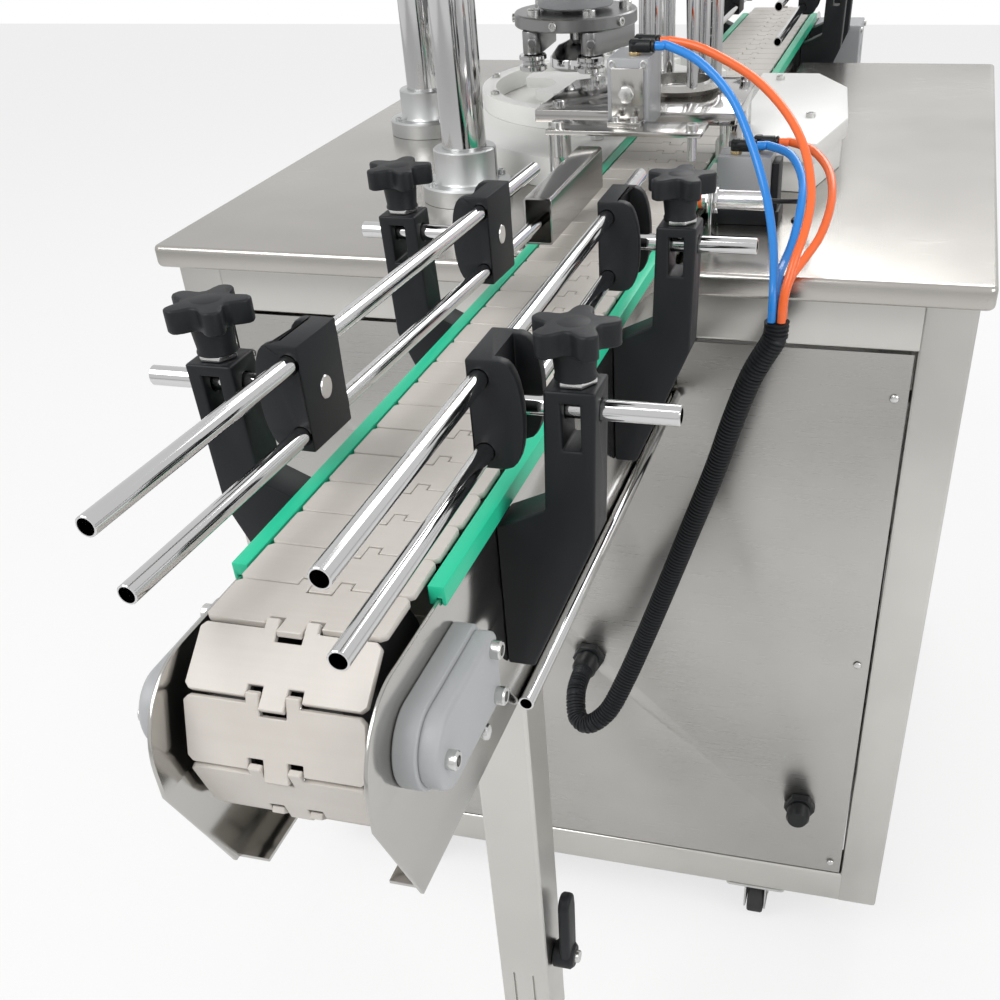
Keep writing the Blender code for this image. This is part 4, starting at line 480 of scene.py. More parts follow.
def housing_details():
    screws = []
    for side in (-1, 1):
        cover = LANE_X + side * (SIDE_FACE + 0.0248)
        for y, z in ((TAIL_Y + 0.036, CHAIN_TOP - 0.040), (TAIL_Y + 0.036, CHAIN_TOP - 0.072),
                     (TAIL_Y - 0.040, CHAIN_TOP - 0.056)):
            screws.append(socket_screw((cover, y, z), (side, 0, 0), 0.0055, 0.0060))
        for y, z in ((TAIL_Y + 0.075, CHAIN_TOP - 0.105), (TAIL_Y + 0.075, CHAIN_TOP - 0.135),
                     (-0.80, CHAIN_TOP - 0.105), (-0.60, CHAIN_TOP - 0.105), (-0.40, CHAIN_TOP - 0.105)):
            screws.append(dome_screw((LANE_X + side * SIDE_OUTER, y, z), (side, 0, 0), 0.006, 0.0035))
    settle(joined(screws), "conveyor_screws", ZINC, "machine")


def bracket(side, y):
    middle = LANE_X + side * COLUMN_MIDDLE
    outline = [(SIDE_FACE, CHAIN_TOP - 0.016), (COLUMN_IN - 0.003, CHAIN_TOP - 0.002),
               (COLUMN_IN, COLUMN_TOP), (COLUMN_OUT, COLUMN_TOP), (COLUMN_OUT - 0.003, CHAIN_TOP - 0.020),
               (SIDE_FACE + 0.018, CHAIN_TOP - 0.117), (SIDE_FACE, CHAIN_TOP - 0.117)]
    body = prism([(LANE_X + side * across, along) for across, along in outline], y - 0.015, y + 0.015, "XZ")
    carve(body, block((middle - 0.0055, y - 0.020, ROD_Z - 0.020),
                      (middle + 0.0055, y + 0.020, ROD_Z + 0.008), 0),
          round_bar((middle - 0.030, y, ROD_Z), (middle + 0.030, y, ROD_Z), 0.0064),
          round_bar((middle, y, ROD_Z), (middle, y, COLUMN_TOP + 0.01), 0.0044))
    soften(body, 0.0016, 3)
    return body


def knob(side, y, name, body, nodes):
    """Star knob with five soft lobes on its tapered neck, over a steel hexagon washer."""
    middle = LANE_X + side * COLUMN_MIDDLE
    points = []
    for degrees in range(0, 360, 6):
        wave = math.cos(KNOB_LOBES * math.radians(degrees))
        radius = KNOB_RADIUS * (0.80 + 0.20 * max(-1.0, min(1.0, 1.35 * wave)))
        points.append(on_circle((middle, y), radius, 90 + degrees))
    top = KNOB_TOP
    star = prism(points, top - 0.014, top, "XY", 0.0035, 4)
    cap = turned([(0.0, top + 0.0006), (0.008, top + 0.0004), (0.011, top - 0.0006), (0.011, top - 0.003),
                  (0.0, top - 0.003)],
                 (middle, y, 0), steps=32)
    neck = turned([(0.0, top - 0.010), (0.0135, top - 0.010), (0.0115, COLUMN_TOP + 0.006),
                   (0.0122, COLUMN_TOP + 0.0045), (0.0122, COLUMN_TOP + 0.0035), (0.0, COLUMN_TOP + 0.0035)],
                  (middle, y, 0), steps=32)
    settle(joined([star, cap, neck]), name, BLACK, body, nodes)
    washer = prism(hexagon((middle, y), 0.0125), COLUMN_TOP + 0.0004, COLUMN_TOP + 0.0035, "XY", 0.0005)
    stud = round_bar((middle, y, ROD_Z + 0.0065), (middle, y, COLUMN_TOP + 0.004), 0.004, 20)
    settle(joined([washer, stud]), name + "_stud", ZINC, body)


def clamp_head(side, distance, y, lean):
    wall_in, wall_out, cheek_out = distance - 0.0070, distance + 0.008, distance + 0.024
    low, high = CHAIN_TOP + 0.027, CHAIN_TOP + 0.091
    middle_z, reach = (low + high) / 2, (high - low) / 2
    curve = [(wall_out + (cheek_out - wall_out) * math.cos(math.radians(turn)) ** 0.6,
              middle_z + reach * math.sin(math.radians(turn))) for turn in range(-84, 85, 12)]
    outline = [(wall_in, low), (wall_out, low)] + curve + [(wall_out, high), (wall_in, high)]
    body = prism([(LANE_X + side * across, along) for across, along in outline], y - 0.024, y + 0.024, "XZ")
    ends = sorted((LANE_X + side * wall_out, LANE_X + side * (cheek_out + 0.004)))
    pocket = block((ends[0], y - 0.016, low - 0.002), (ends[1], y + 0.016, high + 0.002), 0)
    x = LANE_X + side * distance
    grooves = [round_bar((x, y - 0.04, CHAIN_TOP + height), (x, y + 0.04, CHAIN_TOP + height), 0.0056)
               for height in RAIL_HEIGHTS]
    carve(body, pocket, *grooves)
    soften(body, 0.0012, 2)
    body.data.transform(Matrix.Translation((x, y, 0)) @ Matrix.Rotation(math.radians(lean), 4, "Z")
                        @ Matrix.Translation((-x, -y, 0)))
    return body


def guide(name, body, side, ys, near, far, ends, trims):
    """Hollow rails, their clamp heads, the cross rods and the bolts that hold them."""
    def distance(y):
        return near + (far - near) * (y - ends[0]) / (ends[1] - ends[0])
    lean = math.degrees(math.atan2(-side * (far - near), ends[1] - ends[0]))
    rails = []
    for height, trim in zip(RAIL_HEIGHTS, trims):
        start, end = [(LANE_X + side * distance(y), y, CHAIN_TOP + height) for y in trim]
        rails.append(pipe(start, end, 0.0055, 0.0045))
    settle(joined(rails), name + "_rails", CHROME, body, [name])
    rods = []
    for y in ys:
        inner, outer = distance(y) - 0.0035, distance(y) + 0.108
        rods.append(pipe((LANE_X + side * inner, y, ROD_Z), (LANE_X + side * outer, y, ROD_Z), 0.006, 0.0042))
        x = LANE_X + side * (distance(y) + 0.0082)
        rods.append(turned([(0.0, 0.003), (0.008, 0.003), (0.0095, 0.0015), (0.0095, 0.0), (0.0, 0.0)],
                           (x, y, ROD_Z), (side, 0, 0)))
        x = LANE_X + side * (distance(y) - 0.0066)
        rods.append(turned([(0.0, 0.0012), (0.0065, 0.0012), (0.0070, 0.0006), (0.0070, 0.0), (0.0, 0.0)],
                           (x, y, ROD_Z + 0.001), (-side, 0, 0)))
    settle(joined(rods), name + "_rods", CHROME, body)
    settle(joined([clamp_head(side, distance(y), y, lean) for y in ys]), name + "_heads", BLACK, body)


def guides():
    for word, side in (("left", -1), ("right", 1)):
        for spot, y in INFEED_BRACKETS.items():
            node = "infeed_bracket_{}_{}".format(spot, word)
            settle(bracket(side, y), node + "_moulding", BLACK, "machine", [node])
            part = "knob_{}_{}".format(spot, word)
            knob(side, y, part + "_star", part, [part])
    guide("infeed_guide_left", "guide_left", -1, INFEED_BRACKETS.values(), 0.060, 0.032, (-1.031, -0.420),
          ((-1.031, -0.425), (-1.020, -0.405)))
    guide("infeed_guide_right", "guide_right", 1, INFEED_BRACKETS.values(), 0.063, 0.0595, (-1.050, -0.434),
          ((-1.050, -0.434), (-1.0485, -0.436)))
    for word, side, distance, trims in (("left", -1, 0.045, ((0.480, 1.050), (0.490, 1.0495))),
                                        ("right", 1, 0.060, ((0.400, 1.050), (0.410, 1.0495)))):
        guide("outfeed_guide_" + word, "machine", side, OUTFEED_BRACKETS.values(), distance, distance,
              (0.0, 1.0), trims)
        for spot, y in OUTFEED_BRACKETS.items():
            settle(bracket(side, y), "outfeed_bracket_{}_{}".format(spot, word), BLACK, "machine")
            knob(side, y, "outfeed_knob_{}_{}".format(spot, word), "machine", ())


# Cabinet and leg

def table():
    bottom = TABLE_TOP - 0.0217
    for node, low, high in (("table_left", (-TABLE_HALF, TABLE_FRONT), (LANE_X - SLOT_HALF, TABLE_BACK)),
                            ("table_right", (LANE_X + SLOT_HALF, TABLE_FRONT), (TABLE_HALF, TABLE_BACK))):
        plate = prism(rounded(low, high, 0.008), bottom, TABLE_TOP, "XY", 0.0045, 4)
        settle(plate, node + "_plate", STEEL_TABLE, "machine", [node])
    grommet = turned([(0.0, 0.004), (0.005, 0.004), (0.009, 0.0028), (0.010, 0.001), (0.010, -0.001),
                      (0.0, -0.001)],
                     (*GROMMET, TABLE_TOP))
    settle(grommet, "cable_grommet", GLOSS_BLACK, "machine")


def panel_details():
    screws = [dome_screw((x, FRONT - 0.0002, z), (0, -1, 0), 0.0045, 0.0022)
              for x in (-0.345, 0.345) for z in (0.150, 0.470, 0.790)]
    settle(joined(screws), "panel_screws", ZINC, "machine")


def gland(name, spot, length, nodes=()):
    x, z = spot
    front = FRONT + 0.001
    body = turned([(0.0, length), (0.0118, length), (0.0145, length - 0.005), (0.0145, 0.013),
                   (0.0135, 0.012), (0.0, 0.012)],
                  (x, front, z), (0, -1, 0))
    nut = prism(hexagon(spot, 0.0195), front - 0.011, front - 0.0003, "XZ", 0.0008)
    settle(joined([body, nut]), name, GLOSS_BLACK, "machine", nodes)


def leg_details():
    bolt = turned([(0.0, 0.0045), (0.0055, 0.0045), (0.0065, 0.0035), (0.0065, 0.0), (0.0, 0.0)],
                  (0.1125, LEG_Y, LEVER_Z), (1, 0, 0))
    settle(bolt, "lever_bolt", ZINC, "leg_lever")
    hub = turned([(0.0, 0.022), (0.011, 0.022), (0.014, 0.019), (0.014, 0.002), (0.012, 0.0), (0.0, 0.0)],
                 (0.0903, LEG_Y, LEVER_Z), (1, 0, 0))
    outline = [(LEG_Y - 0.013, LEVER_Z), (LEG_Y + 0.013, LEVER_Z), (LEG_Y + 0.017, LEVER_Z + 0.060)]
    outline += arc((LEG_Y + 0.004, LEVER_Z + 0.070), 0.012, 0, 180, 12)
    arm = prism(outline, 0.0985, 0.1100, "YZ", 0.0035, 3)
    settle(joined([hub, arm]), "clamp_lever", BLACK, "leg_lever", ["leg_clamp_lever"])


# Table devices

def lid_feed():
    """Lid plate with its hole, posts, magazine and four-bolt cylinder."""
    bottom = LID_TOP - 0.012
    outline = [(-0.057, -0.129), (0.153, -0.129), (0.153, 0.045), (-0.020, 0.045), (-0.028, 0.038),
               (-0.053, 0.020)]
    plate = prism(outline, bottom, LID_TOP)
    carve(plate, round_bar((*LID_HOLE, 0.95), (*LID_HOLE, 1.05), 0.032, 48))
    soften(plate, 0.0010, 2)
    settle(plate, "lid_plate_top", DARK_MIRROR, "machine", ["lid_plate"])
    chrome = []
    for x, y, foot, radius in ((-0.037, -0.108, TABLE_TOP, 0.012), (0.1465, -0.108, TABLE_TOP, 0.012),
                               (-0.030, 0.022, CHAIN_TOP, 0.008), (0.1395, 0.025, CHAIN_TOP + 0.020, 0.008)):
        chrome.append(round_bar((x, y, foot + 0.0003), (x, y, bottom), radius))
    chrome += upright_screws(((-0.037, -0.108), (0.1395, 0.025), (-0.030, 0.022)), LID_TOP, 0.0060, 0.005)
    for spot in hexagon(LID_HOLE, 0.039):
        chrome.append(round_bar((*spot, LID_TOP + 0.008), (*spot, LID_TOP + 0.250), 0.006))
    settle(joined(chrome), "lid_magazine_rods", CHROME, "machine")
    rings = [pipe((*LID_HOLE, low), (*LID_HOLE, low + 0.010), 0.047, 0.0325, 56)
             for low in (LID_TOP, LID_TOP + 0.2485)]
    settle(joined(rings), "lid_magazine_rings", STEEL_PANEL, "machine")
    low, high = LID_CYLINDER
    body = block(low, high, 0.0015)
    carve(body, *[block((0.030, y - 0.0003, 0.99), (0.083, y + 0.0003, 1.07), 0) for y in (-0.176, -0.140)])
    settle(body, "lid_cylinder_block", ANODISED, "machine")
    bolts = [socket_screw((x, low[1] + 0.0010, z), (0, -1, 0), 0.0038, 0.0016)
             for x in (0.0410, 0.0720) for z in (1.003, 1.0545)]
    settle(joined(bolts), "lid_cylinder_bolts", ZINC, "machine")
    fittings("lid_fittings", LID_FITTINGS, high[2])


def fittings(name, spots, base):
    """Push-in elbows: nickelled thread below, black body and release ring on the tube's side."""
    metal, black = [], []
    level = base + FITTING_RISE
    for x, y in spots:
        metal.append(prism(hexagon((x, y), 0.0058), base + 0.0002, base + 0.0035, "XY", 0.0004))
        black.append(turned([(0.0, 0.006), (0.0035, 0.006), (0.0056, 0.004), (0.0056, -0.0045),
                             (0.0, -0.0045)], (x, y, level)))
        black.append(round_bar((x - 0.003, y, level), (x + 0.016, y, level), 0.0058))
        black.append(turned([(0.0041, 0.0035), (0.0056, 0.003), (0.0056, 0.0012), (0.0048, 0.0),
                             (0.0041, 0.0)],
                            (x + 0.0165, y, level), (1, 0, 0)))
    settle(joined(metal), name + "_nuts", BRASS, "machine")
    settle(joined(black), name + "_bodies", GLOSS_BLACK, "machine")


def lid_yoke():
    face = -0.1875
    x = 0.0565
    bar = block((-0.015, face - 0.046, LID_TOP), (0.137, face - 0.002, LID_TOP + 0.0045), 0.0010)
    foot = block((x - 0.016, face - 0.022, LID_TOP + 0.004), (x + 0.016, face - 0.001, LID_TOP + 0.007),
                 0.0006)
    upright = block((x - 0.016, face - 0.003, LID_TOP + 0.003), (x + 0.016, face, 1.052), 0.0008)
    settle(joined([bar, foot, upright]), "yoke_bar", MIRROR_STEEL, "lid_feed", ["lid_yoke"])
    pins = [(end, face - 0.036) for end in (-0.005, 0.127)]
    bits = [round_bar((*spot, LID_TOP - 0.022), (*spot, LID_TOP + 0.004), 0.0045) for spot in pins]
    bits += upright_screws(pins, LID_TOP + 0.0045, 0.0058, 0.0060)
    bits += upright_screws([(end, face - 0.014) for end in (x - 0.009, x + 0.009)], LID_TOP + 0.0070, 0.0040,
                           0.0040)
    rod_z = 1.030
    bits.append(round_bar((x, -0.150, rod_z), (x, face - 0.002, rod_z), 0.005))
    bits.append(prism(hexagon((x, rod_z), 0.0080), face - 0.009, face - 0.003, "XZ", 0.0006))
    settle(joined(bits), "yoke_screws", ZINC, "lid_feed")


def stop_cylinder():
    low, high = STOP_CYLINDER
    body = block(low, high, 0.0016)
    carve(body, block((low[0] - 0.01, low[1] + 0.008, 0.9715), (high[0] + 0.01, low[1] + 0.0095, 0.98), 0),
          block((low[0] - 0.01, high[1] - 0.0095, 0.9715), (high[0] + 0.01, high[1] - 0.008, 0.98), 0))
    settle(body, "stop_cylinder_block", ANODISED, "machine", ["stop_cylinder"])
    foot = block((low[0] + 0.002, low[1], TABLE_FOOT), (high[0] + 0.010, high[1], low[2]), 0.0008)
    plate = block((high[0], low[1] + 0.004, TABLE_TOP + 0.006), (high[0] + 0.0075, high[1] - 0.004, 0.966),
                  0.0008)
    settle(joined([foot, plate]), "stop_cylinder_bracket", BLACK, "machine")
    fittings("stop_fittings", STOP_FITTINGS, high[2])


def sensor():
    """Threaded barrel with its lit end, two nuts and the angle on the table."""
    start, end = 0.1375, 0.205
    barrel = turned([(0.0, end - start), (0.006, end - start), (0.0088, end - start - 0.004), (0.0088, 0.004),
                     (0.0, 0.004)],
                    (start, *SENSOR_LINE), (1, 0, 0))
    settle(barrel, "sensor_barrel", THREAD, "machine", ["can_sensor"])
    face = turned([(0.0, 0.004), (0.0085, 0.004), (0.0085, 0.0006), (0.0078, 0.0), (0.0, 0.0)],
                  (start, *SENSOR_LINE), (1, 0, 0))
    settle(face, "sensor_face", ORANGE, "machine")
    nuts = [prism(hexagon(SENSOR_LINE, 0.0130), low, low + 0.004, "YZ", 0.0006) for low in (0.1455, 0.1532)]
    angle = block((0.150, -0.255, TABLE_FOOT), (0.153, -0.219, 0.966), 0.0006)
    foot = block((0.151, -0.255, TABLE_FOOT), (0.190, -0.219, TABLE_TOP + 0.0033), 0.0006)
    settle(joined(nuts + [angle, foot]), "sensor_bracket", CHROME, "machine")


# Head

def head_outline(margin, head_margin):
    first, second, third = PILLARS
    outline = arc(first, margin, 208, 335, 14) + arc(HEAD, head_margin, 336, 361, 5)
    return outline + arc(third, margin, 2, 140, 14) + arc(second, margin, 141, 208, 8)


def head_frame():
    bars, flanges = [], []
    foot = TABLE_FOOT
    for x, y in PILLARS:
        bars.append(round_bar((x, y, foot + 0.002), (x, y, TOP_PLATE + 0.0005), PILLAR_RADIUS, 64))
        flange = turned([(0.0243, foot + 0.052), (0.033, foot + 0.052), (0.0345, foot + 0.0505),
                         (0.0345, foot + 0.021), (0.036, foot + 0.0185), (0.048, foot + 0.0180),
                         (0.050, foot + 0.016), (0.050, foot), (0.0243, foot)],
                        (x, y, 0), steps=64)
        carve(flange, block((x + 0.020, y - 0.001, foot + 0.022), (x + 0.050, y + 0.001, foot + 0.060), 0))
        flanges.append(flange)
        flanges += upright_screws(arc((x, y), 0.0425, 45, 315, 3), foot + 0.0178, 0.0045, 0.0042)
    settle(joined(bars), "pillar_bars", CHROME, "machine", ["head_frame"])
    settle(joined(flanges), "pillar_flanges", FLANGE, "machine")
    plate = prism(head_outline(PLATE_MARGIN, HEAD_MARGIN), TOP_PLATE, TOP_PLATE + 0.020, "XY", 0.0015)
    carve(plate, round_bar((*SCREW_SPOT, 1.59), (*SCREW_SPOT, 1.63), 0.011, 32))
    settle(plate, "top_plate", STEEL_TABLE, "machine")


# Conveyor body

def mirrored(points):
    return [(2 * MIDDLE_Y - along, up) for along, up in reversed(points)]


def conveyor_body():
    """Side plates with inward flanges and a round hem, the bars between them and the chain's tracks."""
    near = arc((SIDE_END + 0.048, SIDE_TOP - 0.048), 0.048, 90, 180, 16)
    near += [(SIDE_END, SIDE_TOP - 0.066), (SIDE_END + 0.039, SIDE_BOTTOM)]
    outline = near + mirrored(near)
    plates = []
    for side in (-1, 1):
        faces = sorted((LANE_X + side * SIDE_INNER, LANE_X + side * SIDE_OUTER))
        plate = prism(outline, *faces, "YZ")
        carve(plate, *[round_bar((faces[0] - 0.01, y, WHEEL_Z), (faces[1] + 0.01, y, WHEEL_Z), SHAFT_BORE)
                       for y in (TAIL_Y, DRIVE_Y)])
        soften(plate, 0.0006, 2)
        reach = sorted((LANE_X + side * (SIDE_INNER + 0.0005), LANE_X + side * (SIDE_INNER - 0.020)))
        flange = block((reach[0], SIDE_END + 0.042, SIDE_BOTTOM + 0.0004),
                       (reach[1], 2 * MIDDLE_Y - SIDE_END - 0.042,
                        SIDE_BOTTOM + 0.003), 0.0006)
        plates += [plate, flange]
    settle(joined(plates), "side_plates", MIRROR_STEEL, "machine", ["conveyor_frame"])
    hem = SIDE_OUTER + 0.0053
    hems = [pipe((x, -0.822, SIDE_BOTTOM), (x, -0.306, SIDE_BOTTOM), 0.0055, 0.0042)
            for x in (LANE_X - hem, LANE_X + hem)]
    settle(joined(hems), "lower_hems", CHROME, "machine")
    rods = [round_bar((LANE_X - SIDE_INNER, y, TRACK_BOTTOM - 0.007),
                      (LANE_X + SIDE_INNER, y, TRACK_BOTTOM - 0.007), 0.008)
            for y in BARS]
    settle(joined(rods), "spacer_bars", CHROME, "machine")
    ends = (TAIL_Y + APOTHEM + 0.006, DRIVE_Y - APOTHEM - 0.006)
    tracks = []
    for side in (-1, 1):
        for low, high, level in ((0.020, 0.038, TRACK_BOTTOM), (0.038, SIDE_INNER, RETURN_Z - 0.0123)):
            spread = sorted((LANE_X + side * low, LANE_X + side * high))
            tracks.append(block((spread[0], ends[0], level), (spread[1], ends[1], level + 0.012), 0.001))
    settle(joined(tracks), "chain_tracks", DARK_PLASTIC, "machine")
    for word, side in (("left", -1), ("right", 1)):
        outer, top = 0.0633, CHAIN_TOP - 0.001
        profile = [(0.0534, top), (outer, top), (outer, SIDE_TOP - 0.004), (outer - 0.0025, SIDE_TOP - 0.004),
                   (outer - 0.0025, SIDE_TOP + 0.0003), (0.0577, SIDE_TOP + 0.0003),
                   (0.0577, SIDE_TOP - 0.004), (0.0534, SIDE_TOP - 0.004)]
        strip = prism([(LANE_X + side * across, level) for across, level in profile], TAIL_Y + 0.033,
                      2 * MIDDLE_Y - TAIL_Y - 0.033, "XZ", 0.0008)
        settle(strip, "wear_strip_{}_clip".format(word), GREEN, "machine",
               ["wear_strip_" + word])


def tail_housings():
    for word, side in (("left", -1), ("right", 1)):
        layers = []
        for inset, start, end, edge in ((0.0, 0.0608, 0.0743, 0.0016), (0.002, 0.0733, 0.0858, 0.0030)):
            low, high = CHAIN_TOP - 0.082, CHAIN_TOP - 0.030
            radius = (high - low) / 2 - inset
            nose, rear = TAIL_Y - 0.055 + (high - low) / 2, TAIL_Y + 0.048 - inset
            outline = arc((nose, (low + high) / 2), radius, 90, 270, 24)
            outline += arc((rear - 0.006, low + inset + 0.006), 0.006, 270, 360, 4)
            outline += arc((rear - 0.006, high - inset - 0.006), 0.006, 0, 90, 4)
            faces = sorted((LANE_X + side * start, LANE_X + side * end))
            layer = prism(outline, *faces, "YZ")
            if inset == 0.0:
                ends = [(face, TAIL_Y, WHEEL_Z) for face in (faces[0] - 0.01, faces[1] + 0.01)]
                carve(layer, round_bar(*ends, SHAFT_BORE))
            soften(layer, edge, 3)
            layers.append(layer)
        settle(joined(layers), "tail_housing_{}_casting".format(word), CAST, "machine",
               ["tail_housing_" + word])


def wheels():
    """Smooth tail wheels and toothed drive wheels on their shafts."""
    rim = APOTHEM - 0.0006
    for name, body, y, left, right in (("tail_wheels", "tail_shaft", TAIL_Y, 0.0705, 0.0705),
                                       ("drive_sprockets", "drive_shaft", DRIVE_Y, 0.0665, 0.1205)):
        pieces = []
        for low in (LANE_X - 0.036, LANE_X + 0.016):
            if y == TAIL_Y:
                profile = [(0.0, 0.020), (rim - 0.001, 0.020), (rim, 0.019), (rim, 0.001), (rim - 0.001, 0.0),
                           (0.0, 0.0)]
                pieces.append(turned(profile, (low, y, WHEEL_Z), (1, 0, 0), 64))
            else:
                teeth = []
                for tooth in range(WHEEL_TEETH):
                    for radius, part in ((rim - 0.007, 0.0), (rim - 0.007, 0.35), (rim, 0.5), (rim, 0.85)):
                        teeth.append(on_circle((y, WHEEL_Z), radius, TURN * (tooth + part)))
                pieces.append(prism(teeth, low, low + 0.020, "YZ", 0.0008))
        settle(joined(pieces), name + "_rims", DARK_PLASTIC, body, [name])
        shaft = round_bar((LANE_X - left, y, WHEEL_Z), (LANE_X + right, y, WHEEL_Z), SHAFT_RADIUS)
        settle(shaft, name + "_shaft", ZINC, body)


def gearmotor():
    """Right-angle gearbox with its cover screws, and the finned motor below it."""
    start, half = LANE_X + SIDE_FACE, 0.045
    body = prism(rounded((DRIVE_Y - half, WHEEL_Z - half), (DRIVE_Y + half, WHEEL_Z + half), 0.010, 8), start,
                 start + 0.078, "YZ")
    carve(body, round_bar((start - 0.01, DRIVE_Y, WHEEL_Z), (start + 0.09, DRIVE_Y, WHEEL_Z), SHAFT_BORE))
    soften(body, 0.002, 3)
    x, top = start + 0.039, WHEEL_Z - half + 0.001
    profile = [(0.0, top), (0.038, top), (0.038, top - 0.012)]
    for step in range(10):
        level = top - 0.014 - step * 0.0115
        profile += [(0.0335, level), (0.0335, level - 0.006), (0.038, level - 0.0065),
                    (0.038, level - 0.0112)]
    profile += [(0.038, top - 0.168), (0.036, top - 0.170), (0.0, top - 0.170)]
    motor = turned(profile, (x, DRIVE_Y, 0), steps=48)
    settle(joined([body, motor]), "drive_motor", ANODISED, "machine", ["drive_gearmotor"])
    screws = [socket_screw((start + 0.0776, DRIVE_Y + across, WHEEL_Z + up), (1, 0, 0), 0.0045, 0.004)
              for across in (-0.036, 0.036) for up in (-0.036, 0.036)]
    settle(joined(screws), "drive_motor_screws", ZINC, "machine")


# Cabinet body

def panel_outline(clearance):
    half = HALF_WIDTH - TUBE - clearance
    low, high = LOW + TUBE + clearance, TOP - TUBE - clearance
    return [(-half, low), (half, low), (half, high), (LANE_X + SLOT_HALF, high),
            (LANE_X + SLOT_HALF, NOTCH_BOTTOM), (LANE_X - SLOT_HALF, NOTCH_BOTTOM),
            (LANE_X - SLOT_HALF, high), (-half, high)]


def fork(x, y, axle_y):
    leg_in, leg_out, ceiling, crown = 0.0125, 0.015, 0.0695, 0.0725
    outline = [(x - leg_out, 0.0255), (x - leg_in, 0.0255), (x - leg_in, ceiling), (x + leg_in, ceiling),
               (x + leg_in, 0.0255), (x + leg_out, 0.0255), (x + leg_out, crown), (x - leg_out, crown)]
    body = prism(outline, y - 0.012, axle_y + 0.008, "XZ", 0.0008)
    pin = round_bar((x - leg_out - 0.001, axle_y, WHEEL_RADIUS), (x + leg_out + 0.001, axle_y, WHEEL_RADIUS),
                    0.004)
    return [body, pin]


def cabinet():
    """Square tube frame with rounded corners, side and rear panels, cradles and caster plates."""
    inner, tubes = HALF_WIDTH - TUBE, []
    for x in (-HALF_WIDTH, inner):
        for y in (FRONT, BACK - TUBE):
            tubes.append(block((x, y, LOW), (x + TUBE, y + TUBE, TOP), 0.0035, 3))
        for z in (LOW, TOP - TUBE):
            tubes.append(block((x, FRONT + TUBE - 0.004, z + 0.0004),
                               (x + TUBE - 0.0004, BACK - TUBE + 0.004, z + TUBE - 0.0004), 0.0035, 3))
    for y in (FRONT, BACK - TUBE):
        tubes.append(block((-inner - 0.004, y + 0.0004, LOW + 0.0004),
                           (inner + 0.004, y + TUBE - 0.0004, LOW + TUBE - 0.0004), 0.0035, 3))
        for low, high in ((-inner - 0.004, LANE_X - SLOT_HALF), (LANE_X + SLOT_HALF, inner + 0.004)):
            tubes.append(block((low, y + 0.0004, TOP - TUBE + 0.0004),
                               (high, y + TUBE - 0.0004, TOP - 0.0004), 0.0035, 3))
    for y in (FRONT + TUBE - 0.030, BACK - TUBE):
        tubes.append(block((-inner - 0.004, y, SIDE_BOTTOM - TUBE),
                           (inner + 0.004, y + 0.030, SIDE_BOTTOM - 0.0003), 0.0030, 3))
    settle(joined(tubes), "cabinet_tubes", STEEL_UP, "machine", ["cabinet_frame"])
    sheets = [prism(panel_outline(-0.001), BACK - 0.0025, BACK - 0.001, "XZ", 0.0004)]
    for side in (-1, 1):
        faces = sorted((side * (HALF_WIDTH - 0.001), side * (HALF_WIDTH - 0.0025)))
        sheets.append(block((faces[0], FRONT + TUBE - 0.001, LOW + TUBE - 0.001),
                            (faces[1], BACK - TUBE + 0.001, TOP - TUBE + 0.001), 0.0004))
    settle(joined(sheets), "cabinet_panels", STEEL_PANEL, "machine")
    mounts = []
    for x in (-CASTER_X, CASTER_X):
        for y in (CASTER_FRONT, CASTER_BACK):
            mounts.append(prism(rounded((x - 0.040, y - 0.025), (x + 0.040, y + 0.025), 0.006), 0.078, 0.0815,
                                "XY", 0.0006))
            mounts.append(round_bar((x, y, 0.0728), (x, y, 0.0785), 0.018))
        mounts += fork(x, CASTER_BACK, CASTER_BACK)
    settle(joined(mounts), "caster_mounts", ZINC, "machine")
    panel = prism(panel_outline(0.002), FRONT + 0.001, FRONT + 0.0025, "XZ")
    x, z = CONDUIT_GLAND
    carve(panel, round_bar((x, FRONT - 0.02, z), (x, FRONT + 0.02, z), 0.0105))
    soften(panel, 0.0005, 2)
    settle(panel, "front_panel_sheet", STEEL_PANEL, "machine", ["front_panel"])


def caster_wheels():
    for node, fork_node, x, y in (("caster_wheel_left", "caster_fork_left", -CASTER_X, CASTER_FRONT),
                                  ("caster_wheel_right", "caster_fork_right", CASTER_X, CASTER_FRONT),
                                  ("rear_wheel_left", "", -CASTER_X, CASTER_BACK),
                                  ("rear_wheel_right", "", CASTER_X, CASTER_BACK)):
        axle_y = y + 0.018 if fork_node else y
        word = node.split("_")[-1]
        profile = [(0.0270, 0.0105), (0.0310, 0.0105), (WHEEL_RADIUS, 0.0085), (WHEEL_RADIUS, -0.0085),
                   (0.0310, -0.0105), (0.0270, -0.0105), (0.0255, -0.0080), (0.0110, -0.0080),
                   (0.0100, -0.0110), (0.0044, -0.0110), (0.0044, 0.0110), (0.0100, 0.0110), (0.0110, 0.0080),
                   (0.0255, 0.0080)]
        tyre = turned(profile, (x, axle_y, WHEEL_RADIUS), (1, 0, 0), 48)
        body = ("front_wheel_" if fork_node else "rear_wheel_") + word
        settle(tyre, node + "_tyre", RUBBER, body, [node])
        if fork_node:
            settle(joined(fork(x, y, axle_y)), fork_node + "_legs", ZINC, "caster_" + word,
                   [fork_node])


# Star wheel and white plates

def star_outline():
    """Pockets for the cans, with the rim's arcs between them."""
    ratio, spacing = CAN_RADIUS / (2 * STAR_RADIUS), 360 / STAR_POCKETS
    half, swing = math.degrees(2 * math.asin(ratio)), math.degrees(math.acos(ratio))
    points = []
    for pocket in range(STAR_POCKETS):
        turn = pocket * 360 / STAR_POCKETS
        centre = on_circle(STAR, STAR_RADIUS, turn)
        points += arc(centre, CAN_RADIUS, turn + 180 + swing, turn + 180 - swing, 20)
        points += arc(STAR, STAR_RADIUS, turn + half, turn + spacing - half, 6)[1:-1]
    return points


